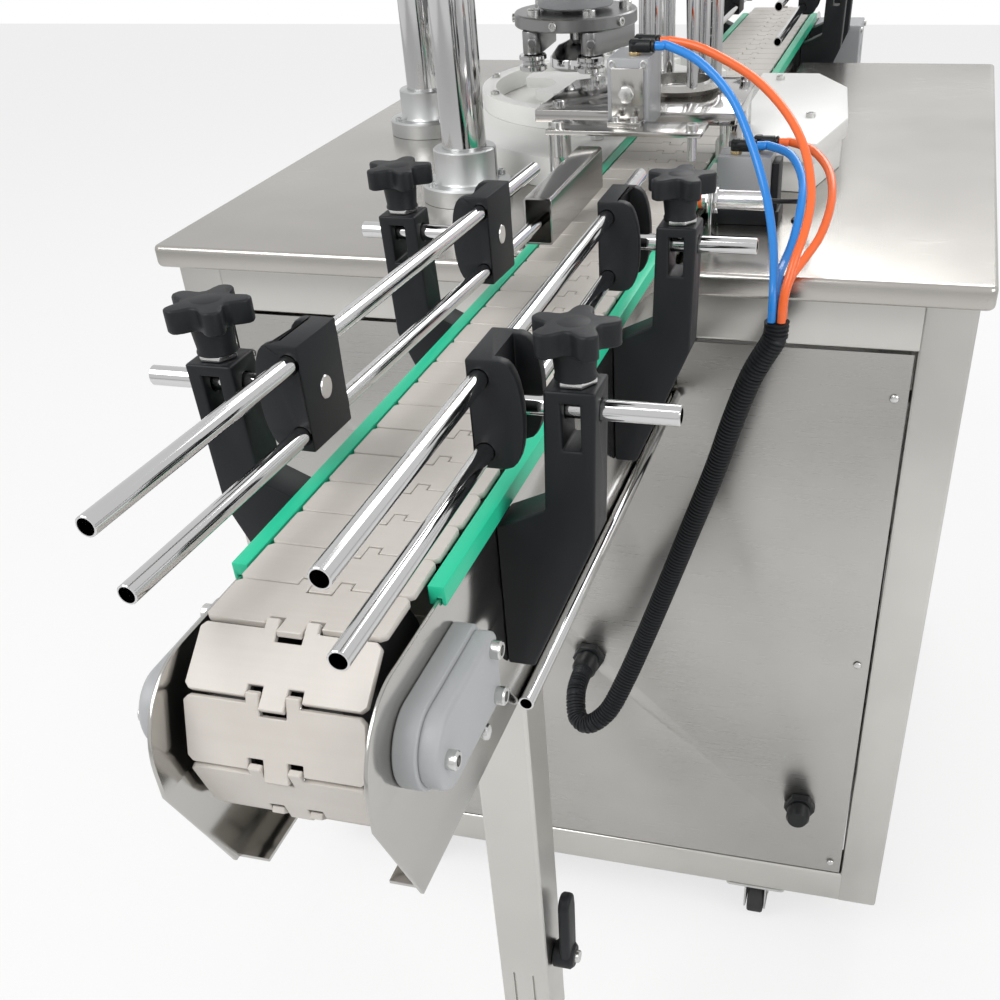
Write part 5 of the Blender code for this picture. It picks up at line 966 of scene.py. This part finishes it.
def star_and_plates():
    wheel = prism(star_outline(), 0.954, 0.966, "XY", 0.0010)
    hub = turned([(0.0, 0.978), (0.0275, 0.978), (0.030, 0.9755), (0.030, 0.9655), (0.0, 0.9655)], (*STAR, 0),
                 steps=48)
    boss = round_bar((*STAR, 0.9403), (*STAR, 0.9545), 0.024)
    settle(joined([wheel, hub, boss]), "star_disc", WHITE, "star", ["star_wheel"])
    metal = [round_bar((*STAR, 0.826), (*STAR, 0.9405), 0.0125)] + upright_screws([STAR], 0.978, 0.009, 0.006)
    metal += upright_screws(arc(STAR, 0.045, 20, 308, 4), 0.966, 0.0045, 0.004)
    settle(joined(metal), "star_shaft", ZINC, "star")
    edge = [(0.0012, -0.095), (-0.085, -0.057), (-0.140, -0.023), (-0.190, 0.030), (-0.236, 0.110),
            (-0.236, 0.300), (-0.200, 0.395), (-0.110, 0.428), (0.0012, 0.428)]
    plate = prism(edge, TABLE_FOOT, CHAIN_TOP)
    carve(plate, round_bar((*STAR, 0.90), (*STAR, 0.95), 0.0145),
          round_bar((*HEAD, 0.90), (*HEAD, 0.95), 0.0305, 48))
    soften(plate, 0.0015, 3)
    ring = arc(STAR, RING_INNER + 0.018, 57, 303, 72) + list(reversed(arc(STAR, RING_INNER, 57, 303, 72)))
    can_guide = prism(ring, CHAIN_TOP + 0.0001, CHAIN_TOP + 0.022, "XY", 0.0012)
    settle(joined([plate, can_guide]), "star_plate", WHITE, "machine", ["wear_plate"])
    bolts = upright_screws(arc(STAR, RING_INNER + 0.009, 110, 250, 4), CHAIN_TOP + 0.022, 0.0055, 0.0045)
    settle(joined(bolts), "can_guide_screws", ZINC, "machine")
    outer, lane = LANE_X + SLOT_HALF + 0.004, STAR[0] + RING_INNER + 0.001
    base = prism([(outer, -0.040), (0.225, -0.050), (0.247, 0.060), (0.232, 0.215), (0.190, 0.290),
                  (outer, 0.290)],
                 TABLE_FOOT, CHAIN_TOP + 0.001, "XY", 0.0012)
    cap = prism([(lane, -0.055), (0.230, -0.060), (0.252, 0.060), (0.237, 0.220), (0.195, 0.300),
                 (lane, 0.300)],
                CHAIN_TOP + 0.0003, CHAIN_TOP + 0.020, "XY", 0.0015, 3)
    settle(joined([base, cap]), "side_guide_block", WHITE, "machine", ["guide_block"])
    screws = upright_screws(((0.150, -0.035), (0.210, 0.060), (0.150, 0.260)), CHAIN_TOP + 0.020, 0.0055,
                            0.0045)
    settle(joined(screws), "guide_block_screws", ZINC, "machine")
    disc = turned([(0.0, 0.940), (0.029, 0.940), (0.030, 0.939), (0.030, 0.930), (0.010, 0.930),
                   (0.010, 0.831), (0.0, 0.831)], (*HEAD, 0))
    settle(disc, "lift_plate", CHROME, "can_lifter", ["lift_disc"])


def box_tube():
    x, z = 0.032, 0.977
    tube = prism(rounded((x - 0.0125, z - 0.019), (x + 0.0125, z + 0.019), 0.003), -0.420, -0.245, "XZ")
    carve(tube, prism(rounded((x - 0.0107, z - 0.0172), (x + 0.0107, z + 0.0172), 0.0015), -0.43, -0.235,
                      "XZ"))
    soften(tube, 0.0003, 1)
    wall, foot, riser, seat, level = 0.003, TABLE_FOOT, LANE_X - 0.078, x - 0.0120, CHAIN_TOP + 0.004
    angle = prism([(riser - 0.040, foot), (riser + wall, foot), (riser + wall, level), (seat, level),
                   (seat, level + 0.036), (seat - wall, level + 0.036), (seat - wall, level + wall),
                   (riser, level + wall), (riser, foot + wall), (riser - 0.040, foot + wall)], -0.300, -0.260,
                  "XZ", 0.0007)
    screw = dome_screw((riser - 0.020, -0.280, foot + wall), UPWARD, 0.006, 0.0035)
    settle(joined([tube, angle, screw]), "box_tube_rail", DARK_MIRROR, "guide_left",
           ["box_rail"])


# Seaming head

def around_head(radius, degrees):
    return on_circle(HEAD, radius, degrees)


def outward(degrees):
    return (*on_circle((0, 0), 1, degrees), 0)


def seaming_head():
    """Rotor, its two roller arms, the chuck, the spindle housing, the motor and the carriage."""
    axis = (*HEAD, 0)
    disc = turned([(0.016, 1.241), (0.016, 1.058), (0.0705, 1.058), (0.072, 1.0565), (0.072, 1.0455),
                   (0.0705, 1.044), (0.0085, 1.044), (0.0085, 1.241)], axis, steps=96)
    pins = [round_bar((*around_head(0.055, turn), 1.021), (*around_head(0.055, turn), 1.045), 0.005)
            for turn in (150, 18)]
    weight = round_bar((*around_head(0.052, 84), 1.026), (*around_head(0.052, 84), 1.045), 0.014, 40, 0.0012)
    settle(joined([disc, weight] + pins), "rotor_disc", DARK_STEEL, "rotor", ["seaming_rotor"])
    caps = upright_screws([around_head(0.058, turn) for turn in (18, 84, 150, 229, 300)], 1.058, 0.0075,
                          0.0065)
    caps += [socket_screw((*around_head(0.0715, turn), 1.051), outward(turn), 0.0045, 0.0035)
             for turn in (264, 330, 190)]
    settle(joined(caps), "rotor_screws", ZINC, "rotor")
    for name, turn, pivot_turn in (("first", 229, 150), ("second", 300, 18)):
        pivot, tip = around_head(0.055, pivot_turn), around_head(0.062, turn)
        heading = math.degrees(math.atan2(tip[1] - pivot[1], tip[0] - pivot[0]))
        outline = arc(pivot, 0.014, heading + 90, heading + 270, 20) + arc(tip, 0.011, heading - 90,
                                                                           heading + 90, 20)
        arm = prism(outline, 1.020, 1.0437)
        carve(arm, round_bar((*pivot, 1.01), (*pivot, 1.05), 0.0053))
        soften(arm, 0.0014, 2)
        axle = round_bar((*tip, 1.003), (*tip, 1.021), 0.004)
        facing = outward(285)
        screw = socket_screw((tip[0] + 0.0102 * facing[0], tip[1] + 0.0102 * facing[1], 1.032), facing,
                             0.0055, 0.0035)
        settle(joined([arm, axle, screw]), "roller_arm_{}_body".format(name), DARK_STEEL, "arm_" + name,
               ["roller_arm_" + name])
        rim = [(0.0150, 1.0197), (0.016, 1.0187), (0.016, 1.0150), (0.0120, 1.0125), (0.0120, 1.0100),
               (0.016, 1.0080), (0.016, 1.0040), (0.0150, 1.003), (0.0043, 1.003), (0.0043, 1.0197)]
        settle(turned(rim, (*tip, 0), steps=64), "roller_{}_rim".format(name), CHROME, "roller_" + name,
               ["roller_" + name])
    chuck = turned([(0.0, 1.249), (0.008, 1.249), (0.008, 1.028), (0.022, 1.022), (0.0318, 1.011),
                    (0.0325, 1.010), (0.0325, 1.001), (0.030, 0.998), (0.0, 0.998)], axis, steps=64)
    settle(chuck, "seaming_chuck", CHROME, "carriage")
    plate = prism(head_outline(PLATE_MARGIN, HEAD_MARGIN), CARRIAGE, CARRIAGE + 0.020)
    carve(plate, *[round_bar((x, y, 1.2), (x, y, 1.27), 0.0245, 48) for x, y in PILLARS],
          round_bar((*SCREW_SPOT, 1.2), (*SCREW_SPOT, 1.27), 0.0105))
    soften(plate, 0.0012, 2)
    sleeves = [turned([(0.0245, 1.226), (0.042, 1.226), (0.042, 1.1925), (0.0405, 1.191), (0.0245, 1.191)],
                      (x, y, 0), steps=48)
               for x, y in PILLARS]
    sleeves.append(turned([(0.0105, 1.226), (0.022, 1.226), (0.022, 1.187), (0.021, 1.186), (0.0105, 1.186)],
                          (*SCREW_SPOT, 0)))
    settle(joined([plate] + sleeves), "carriage_plate", STEEL_LONG, "carriage",
           ["head_carriage"])
    housing = turned([(0.0165, 1.226), (0.068, 1.226), (0.068, 1.212), (0.066, 1.210), (0.052, 1.204),
                      (0.052, 1.092), (0.044, 1.082), (0.044, 1.0635), (0.0425, 1.062), (0.0165, 1.062)],
                     axis, steps=64)
    settle(housing, "spindle_housing", CAST, "carriage")
    base = 1.244
    flange = prism(rounded((HEAD[0] - 0.062, HEAD[1] - 0.062), (HEAD[0] + 0.062, HEAD[1] + 0.062), 0.012, 8),
                   base, base + 0.014, "XY", 0.001)
    profile = [(0.0, base + 0.230), (0.050, base + 0.230), (0.058, base + 0.222), (0.058, base + 0.185)]
    for step in range(11):
        level = base + 0.182 - step * 0.0145
        profile += [(0.0515, level), (0.0515, level - 0.008), (0.058, level - 0.0085),
                    (0.058, level - 0.0140)]
    profile += [(0.052, base + 0.013), (0.0, base + 0.013)]
    settle(joined([flange, turned(profile, axis, steps=64)]), "seaming_motor", MOTOR_PAINT, "carriage")
    spots = [(HEAD[0] + x, HEAD[1] + y) for x in (-0.052, 0.052) for y in (-0.052, 0.052)]
    screws = upright_screws(spots, base + 0.014, 0.005, 0.0055)
    settle(joined(screws), "carriage_screws", ZINC, "carriage")


def height_screw():
    (x, y), seat, reach = SCREW_SPOT, TOP_PLATE + 0.0203, 0.055
    rim = seat + 0.052
    screw = turned([(0.0, rim + 0.012), (0.013, rim + 0.012), (0.014, rim + 0.011), (0.014, rim - 0.012),
                    (0.010, rim - 0.014), (0.010, seat + 0.014), (0.020, seat + 0.014), (0.020, seat),
                    (0.010, seat), (0.010, 1.140), (0.0, 1.140)],
                   (x, y, 0), steps=32)
    settle(screw, "height_spindle", SCREW_STEEL, "screw", ["height_screw"])
    hoop = turned(arc((reach, rim), 0.005, 0, 330, 11), (x, y, 0), steps=72)
    spokes = [round_bar((x, y, rim), (*on_circle((x, y), reach, turn), rim), 0.0035, 20)
              for turn in (90, 210, 330)]
    grip = turned([(0.0, rim + 0.048), (0.006, rim + 0.047), (0.009, rim + 0.044), (0.010, rim + 0.028),
                   (0.007, rim + 0.008), (0.004, rim + 0.006), (0.004, rim), (0.0, rim)], (x + reach, y, 0),
                  steps=32)
    settle(joined([hoop, grip] + spokes), "height_handwheel", BLACK, "screw")


# Cords

def smooth(points, steps):
    knots = [Vector(point) for point in points]
    padded = [2 * knots[0] - knots[1]] + knots + [2 * knots[-1] - knots[-2]]
    curve = []
    for index in range(1, len(padded) - 2):
        before, start, end, after = padded[index - 1:index + 3]
        for step in range(steps):
            part = step / steps
            bend = (2 * before - 5 * start + 4 * end - after) * part ** 2
            twist = (3 * start - before - 3 * end + after) * part ** 3
            curve.append(0.5 * (2 * start + (end - before) * part + bend + twist))
    return curve + [knots[-1]]


def route_length(points):
    return sum((after - before).length for before, after in zip(points, points[1:]))


def line(name, points, radius, material, node):
    """Plain round tube or cable along its route."""
    curve = bpy.data.curves.new(name, "CURVE")
    curve.dimensions = "3D"
    curve.bevel_depth = radius
    curve.bevel_resolution = 6
    curve.use_fill_caps = True
    spline = curve.splines.new("POLY")
    spline.points.add(len(points) - 1)
    for point, place in zip(spline.points, points):
        point.co = (*place, 1.0)
    piece = bpy.data.objects.new(name, curve)
    bpy.context.scene.collection.objects.link(piece)
    spline.use_smooth = True
    curve.materials.append(material)
    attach(piece, "machine")
    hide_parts(node)
    length = route_length(points)


def corrugated(name, points, radius, pitch, material, node):
    """Conduit whose rings stand up at every pitch along its route."""
    lengths = [0.0]
    for before, after in zip(points, points[1:]):
        lengths.append(lengths[-1] + (after - before).length)
    total, sides = lengths[-1], 28
    count = int(total / pitch) * 4
    rings, centres, normal, index = [], [], None, 0
    for step in range(count + 1):
        reach = total * step / count
        while index < len(lengths) - 2 and lengths[index + 1] < reach:
            index += 1
        part = (reach - lengths[index]) / (lengths[index + 1] - lengths[index])
        centre = points[index].lerp(points[index + 1], part)
        ahead = (points[min(index + 2, len(points) - 1)] - points[max(index - 1, 0)]).normalized()
        side = Vector((0, 1, 0)) if normal is None else normal
        side = (side - ahead * side.dot(ahead)).normalized()
        normal = side
        other = ahead.cross(side)
        width = radius - (0.0, 0.0, 0.0016, 0.0016)[step % 4]
        turns = [2 * math.pi * turn / sides for turn in range(sides)]
        rings.append([centre + (side * math.cos(turn) + other * math.sin(turn)) * width for turn in turns])
        centres.append(centre)
    deselect()
    mesh = bpy.data.meshes.new(name)
    places = [place for ring in rings for place in ring]
    faces = []
    for ring in range(len(rings) - 1):
        for turn in range(sides):
            after = (turn + 1) % sides
            faces.append((ring * sides + turn, ring * sides + after, (ring + 1) * sides + after,
                          (ring + 1) * sides + turn))
    faces.append(tuple(range(sides - 1, -1, -1)))
    faces.append(tuple((len(rings) - 1) * sides + turn for turn in range(sides)))
    mesh.from_pydata(places, [], faces)
    piece = bpy.data.objects.new(name, mesh)
    bpy.context.scene.collection.objects.link(piece)
    pick(piece)
    bpy.ops.object.mode_set(mode="EDIT")
    bpy.ops.mesh.select_all(action="SELECT")
    bpy.ops.mesh.normals_make_consistent(inside=False)
    bpy.ops.object.mode_set(mode="OBJECT")
    settle(piece, name, material, "machine", [node])
    length = route_length(centres)


CONDUIT_ROUTE = [
    (0.2335, -0.361, 0.8815), (0.2333, -0.361, 0.8740), (0.2310, -0.361, 0.8630), (0.2134, -0.358, 0.8286),
    (0.1973, -0.355, 0.781), (0.1812, -0.352, 0.725), (0.1571, -0.352, 0.6528), (0.1311, -0.357, 0.5754),
    (0.1100, -0.367, 0.515), (0.0930, -0.381, 0.470), (0.0760, -0.396, 0.434), (0.0540, -0.401, 0.414),
    (0.0370, -0.391, 0.414), (0.0300, -0.370, 0.430), (0.0290, -0.3500, 0.4365), (0.0290, -0.3343, 0.437)]
MOUTH = CONDUIT_ROUTE[0]


def mouth_points(across, along):
    x, y, z = MOUTH[0] + across * 0.00435, MOUTH[1] + along * 0.00435, MOUTH[2] + 0.0010
    return [(x, y, z + rise) for rise in (0.013, 0.006, 0.0)]


def fitting_points(spot, level):
    return [(spot[0] + 0.0203 + reach, spot[1], level) for reach in (0.0, 0.006, 0.013)]


def cords():
    lid_level, stop_level = LID_CYLINDER[1][2] + FITTING_RISE, STOP_CYLINDER[1][2] + FITTING_RISE
    tubes = (
        ("air_tube_blue_lid", BLUE, "blue_tube", fitting_points(LID_FITTINGS[0], lid_level) + [
            (0.1266, -0.192, 1.0587), (0.1606, -0.2174, 1.036), (0.1851, -0.2461, 1.0048),
            (0.2051, -0.2749, 0.9697), (0.2170, -0.3060, 0.9450), (0.2240, -0.3340, 0.9270),
            (0.2280, -0.3580, 0.9110)] + mouth_points(-1, -1)),
        ("air_tube_orange_lid", ORANGE, "orange_tube", fitting_points(LID_FITTINGS[1], lid_level) + [
            (0.1258, -0.158, 1.0629), (0.1775, -0.190, 1.0456), (0.2143, -0.2254, 1.0239),
            (0.2371, -0.2605, 1.0009), (0.2490, -0.2956, 0.9738), (0.2490, -0.3260, 0.9520),
            (0.2440, -0.3480, 0.9330), (0.2395, -0.3620, 0.9120)]
         + mouth_points(1, -1)),
        ("air_tube_blue_stop", BLUE, "blue_tube", fitting_points(STOP_FITTINGS[0], stop_level) + [
            (0.2173, -0.1857, 0.9783), (0.2330, -0.2203, 0.9655), (0.2370, -0.2580, 0.9500),
            (0.2350, -0.2850, 0.9300), (0.2310, -0.3090, 0.9175), (0.2292, -0.3300, 0.9130),
            (0.2290, -0.3470, 0.9050)] + mouth_points(-1, 1)),
        ("air_tube_orange_stop", ORANGE, "orange_tube", fitting_points(STOP_FITTINGS[1], stop_level) + [
            (0.2362, -0.1657, 0.9780), (0.2560, -0.2053, 0.9700), (0.2640, -0.2480, 0.9560),
            (0.2600, -0.2850, 0.9360), (0.2480, -0.3120, 0.9200), (0.2410, -0.3320, 0.9130),
            (0.2382, -0.3480, 0.9040)] + mouth_points(1, 1)))
    for node, material, slot, route in tubes:
        line(node + "_line", smooth(route, 4), 0.004, material, node)
    cable = [(0.2053, -0.237, 0.950), (0.2105, -0.237, 0.950), (0.2160, -0.237, 0.950),
             (0.2300, -0.2320, 0.9490), (0.2400, -0.2180, 0.9460), (0.2430, -0.2010, 0.9420),
             (0.2410, -0.1820, 0.9380), (0.2350, -0.1640, 0.9330), (0.2290, -0.1540, 0.9270),
             (0.2280, -0.1520, 0.9200), (0.2280, -0.1520, 0.9160), (0.2280, -0.1520, 0.9123)]
    line("sensor_cable_line", smooth(cable, 3), 0.0022, GLOSS_BLACK, "sensor_cable")
    corrugated("conduit_rings", smooth(CONDUIT_ROUTE, 4), 0.0115, 0.0036, BLACK, "conduit")


# CAD nodes that stay as they are

KEPT = {"leg_tube": STEEL_UP, "leg_inner_tube": STEEL_UP, "star_drive": CAST, "can_stop": WHITE}


def dress_nodes():
    for name, material in KEPT.items():
        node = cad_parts[name]
        node.data.materials.clear()
        node.data.materials.append(material)


# Room, light and camera

def stage():
    floor = Finish("studio_floor", (0.86, 0.86, 0.86), 0.9)
    deselect()
    bpy.ops.mesh.primitive_plane_add(size=14.0, location=(0, 0, -0.0005))
    plane = bpy.context.object
    plane.name = "studio_floor"
    path = floor.node("ShaderNodeLightPath")
    glow = floor.node("ShaderNodeEmission", Color=(1.0, 1.0, 1.0, 1.0), Strength=1.0)
    seen = Level(floor.tree, path.outputs["Is Camera Ray"]) * 0.72
    mix = floor.node("ShaderNodeMixShader", Fac=seen)
    floor.tree.links.new(floor.shader.outputs[0], mix.inputs[1])
    floor.tree.links.new(glow.outputs[0], mix.inputs[2])
    floor.tree.links.new(mix.outputs[0], floor.tree.nodes["Material Output"].inputs["Surface"])
    plane.data.materials.append(floor.material)
    world = bpy.data.worlds.new("studio")
    bpy.context.scene.world = world
    world.use_nodes = True
    tree = world.node_tree
    back = tree.nodes["Background"]
    back.inputs["Color"].default_value = (1.0, 1.0, 1.0, 1.0)
    ray = tree.nodes.new("ShaderNodeLightPath")
    shown = Level(tree, ray.outputs["Is Camera Ray"]) + Level(tree, ray.outputs["Is Glossy Ray"]) * 0.55
    tree.links.new((shown * 0.45 + 0.55).socket, back.inputs["Strength"])


def lamp(name, place, target, size, power):
    data = bpy.data.lights.new(name, "AREA")
    data.shape = "RECTANGLE"
    data.size, data.size_y = size
    data.energy = power
    made = bpy.data.objects.new(name, data)
    bpy.context.scene.collection.objects.link(made)
    made.location = place
    made.rotation_euler = (Vector(target) - Vector(place)).to_track_quat("-Z", "Y").to_euler()


def camera():
    data = bpy.data.cameras.new("camera")
    data.sensor_width = 36.0
    data.lens = 42.318
    data.shift_x = -0.0767
    data.shift_y = 0.2208
    made = bpy.data.objects.new("camera", data)
    bpy.context.scene.collection.objects.link(made)
    right = Vector((0.96473, 0.26043, -0.03834))
    up = Vector((-0.13509, 0.61483, 0.77700))
    back = Vector((0.22592, -0.74442, 0.62833))
    turn = Matrix((right, up, back)).transposed().to_4x4()
    made.matrix_world = Matrix.Translation((0.3474, -1.4184, 1.2746)) @ turn
    bpy.context.scene.camera = made


deselect()
camera()
cords()
conveyor_body()
slat_chain()
tail_housings()
wheels()
gearmotor()
housing_details()
guides()
cabinet()
caster_wheels()
table()
panel_details()
gland("conduit_gland_nut", CONDUIT_GLAND, 0.035, ["conduit_gland"])
gland("spare_gland_nut", SPARE_GLAND, 0.031)
leg_details()
lid_feed()
lid_yoke()
stop_cylinder()
sensor()
head_frame()
star_and_plates()
box_tube()
seaming_head()
height_screw()
dress_nodes()
stage()
lamp("key_lamp", (-1.6, -2.4, 3.4), (0, 0, 0.8), (2.2, 2.2), 75.0)
lamp("fill_lamp", (2.8, -1.6, 2.4), (0, 0, 0.8), (2.0, 2.0), 38.0)
lamp("back_lamp", (0.4, 2.8, 3.2), (0, 0, 0.9), (2.4, 1.6), 50.0)
bpy.context.scene.view_settings.view_transform = "Standard"
deselect()
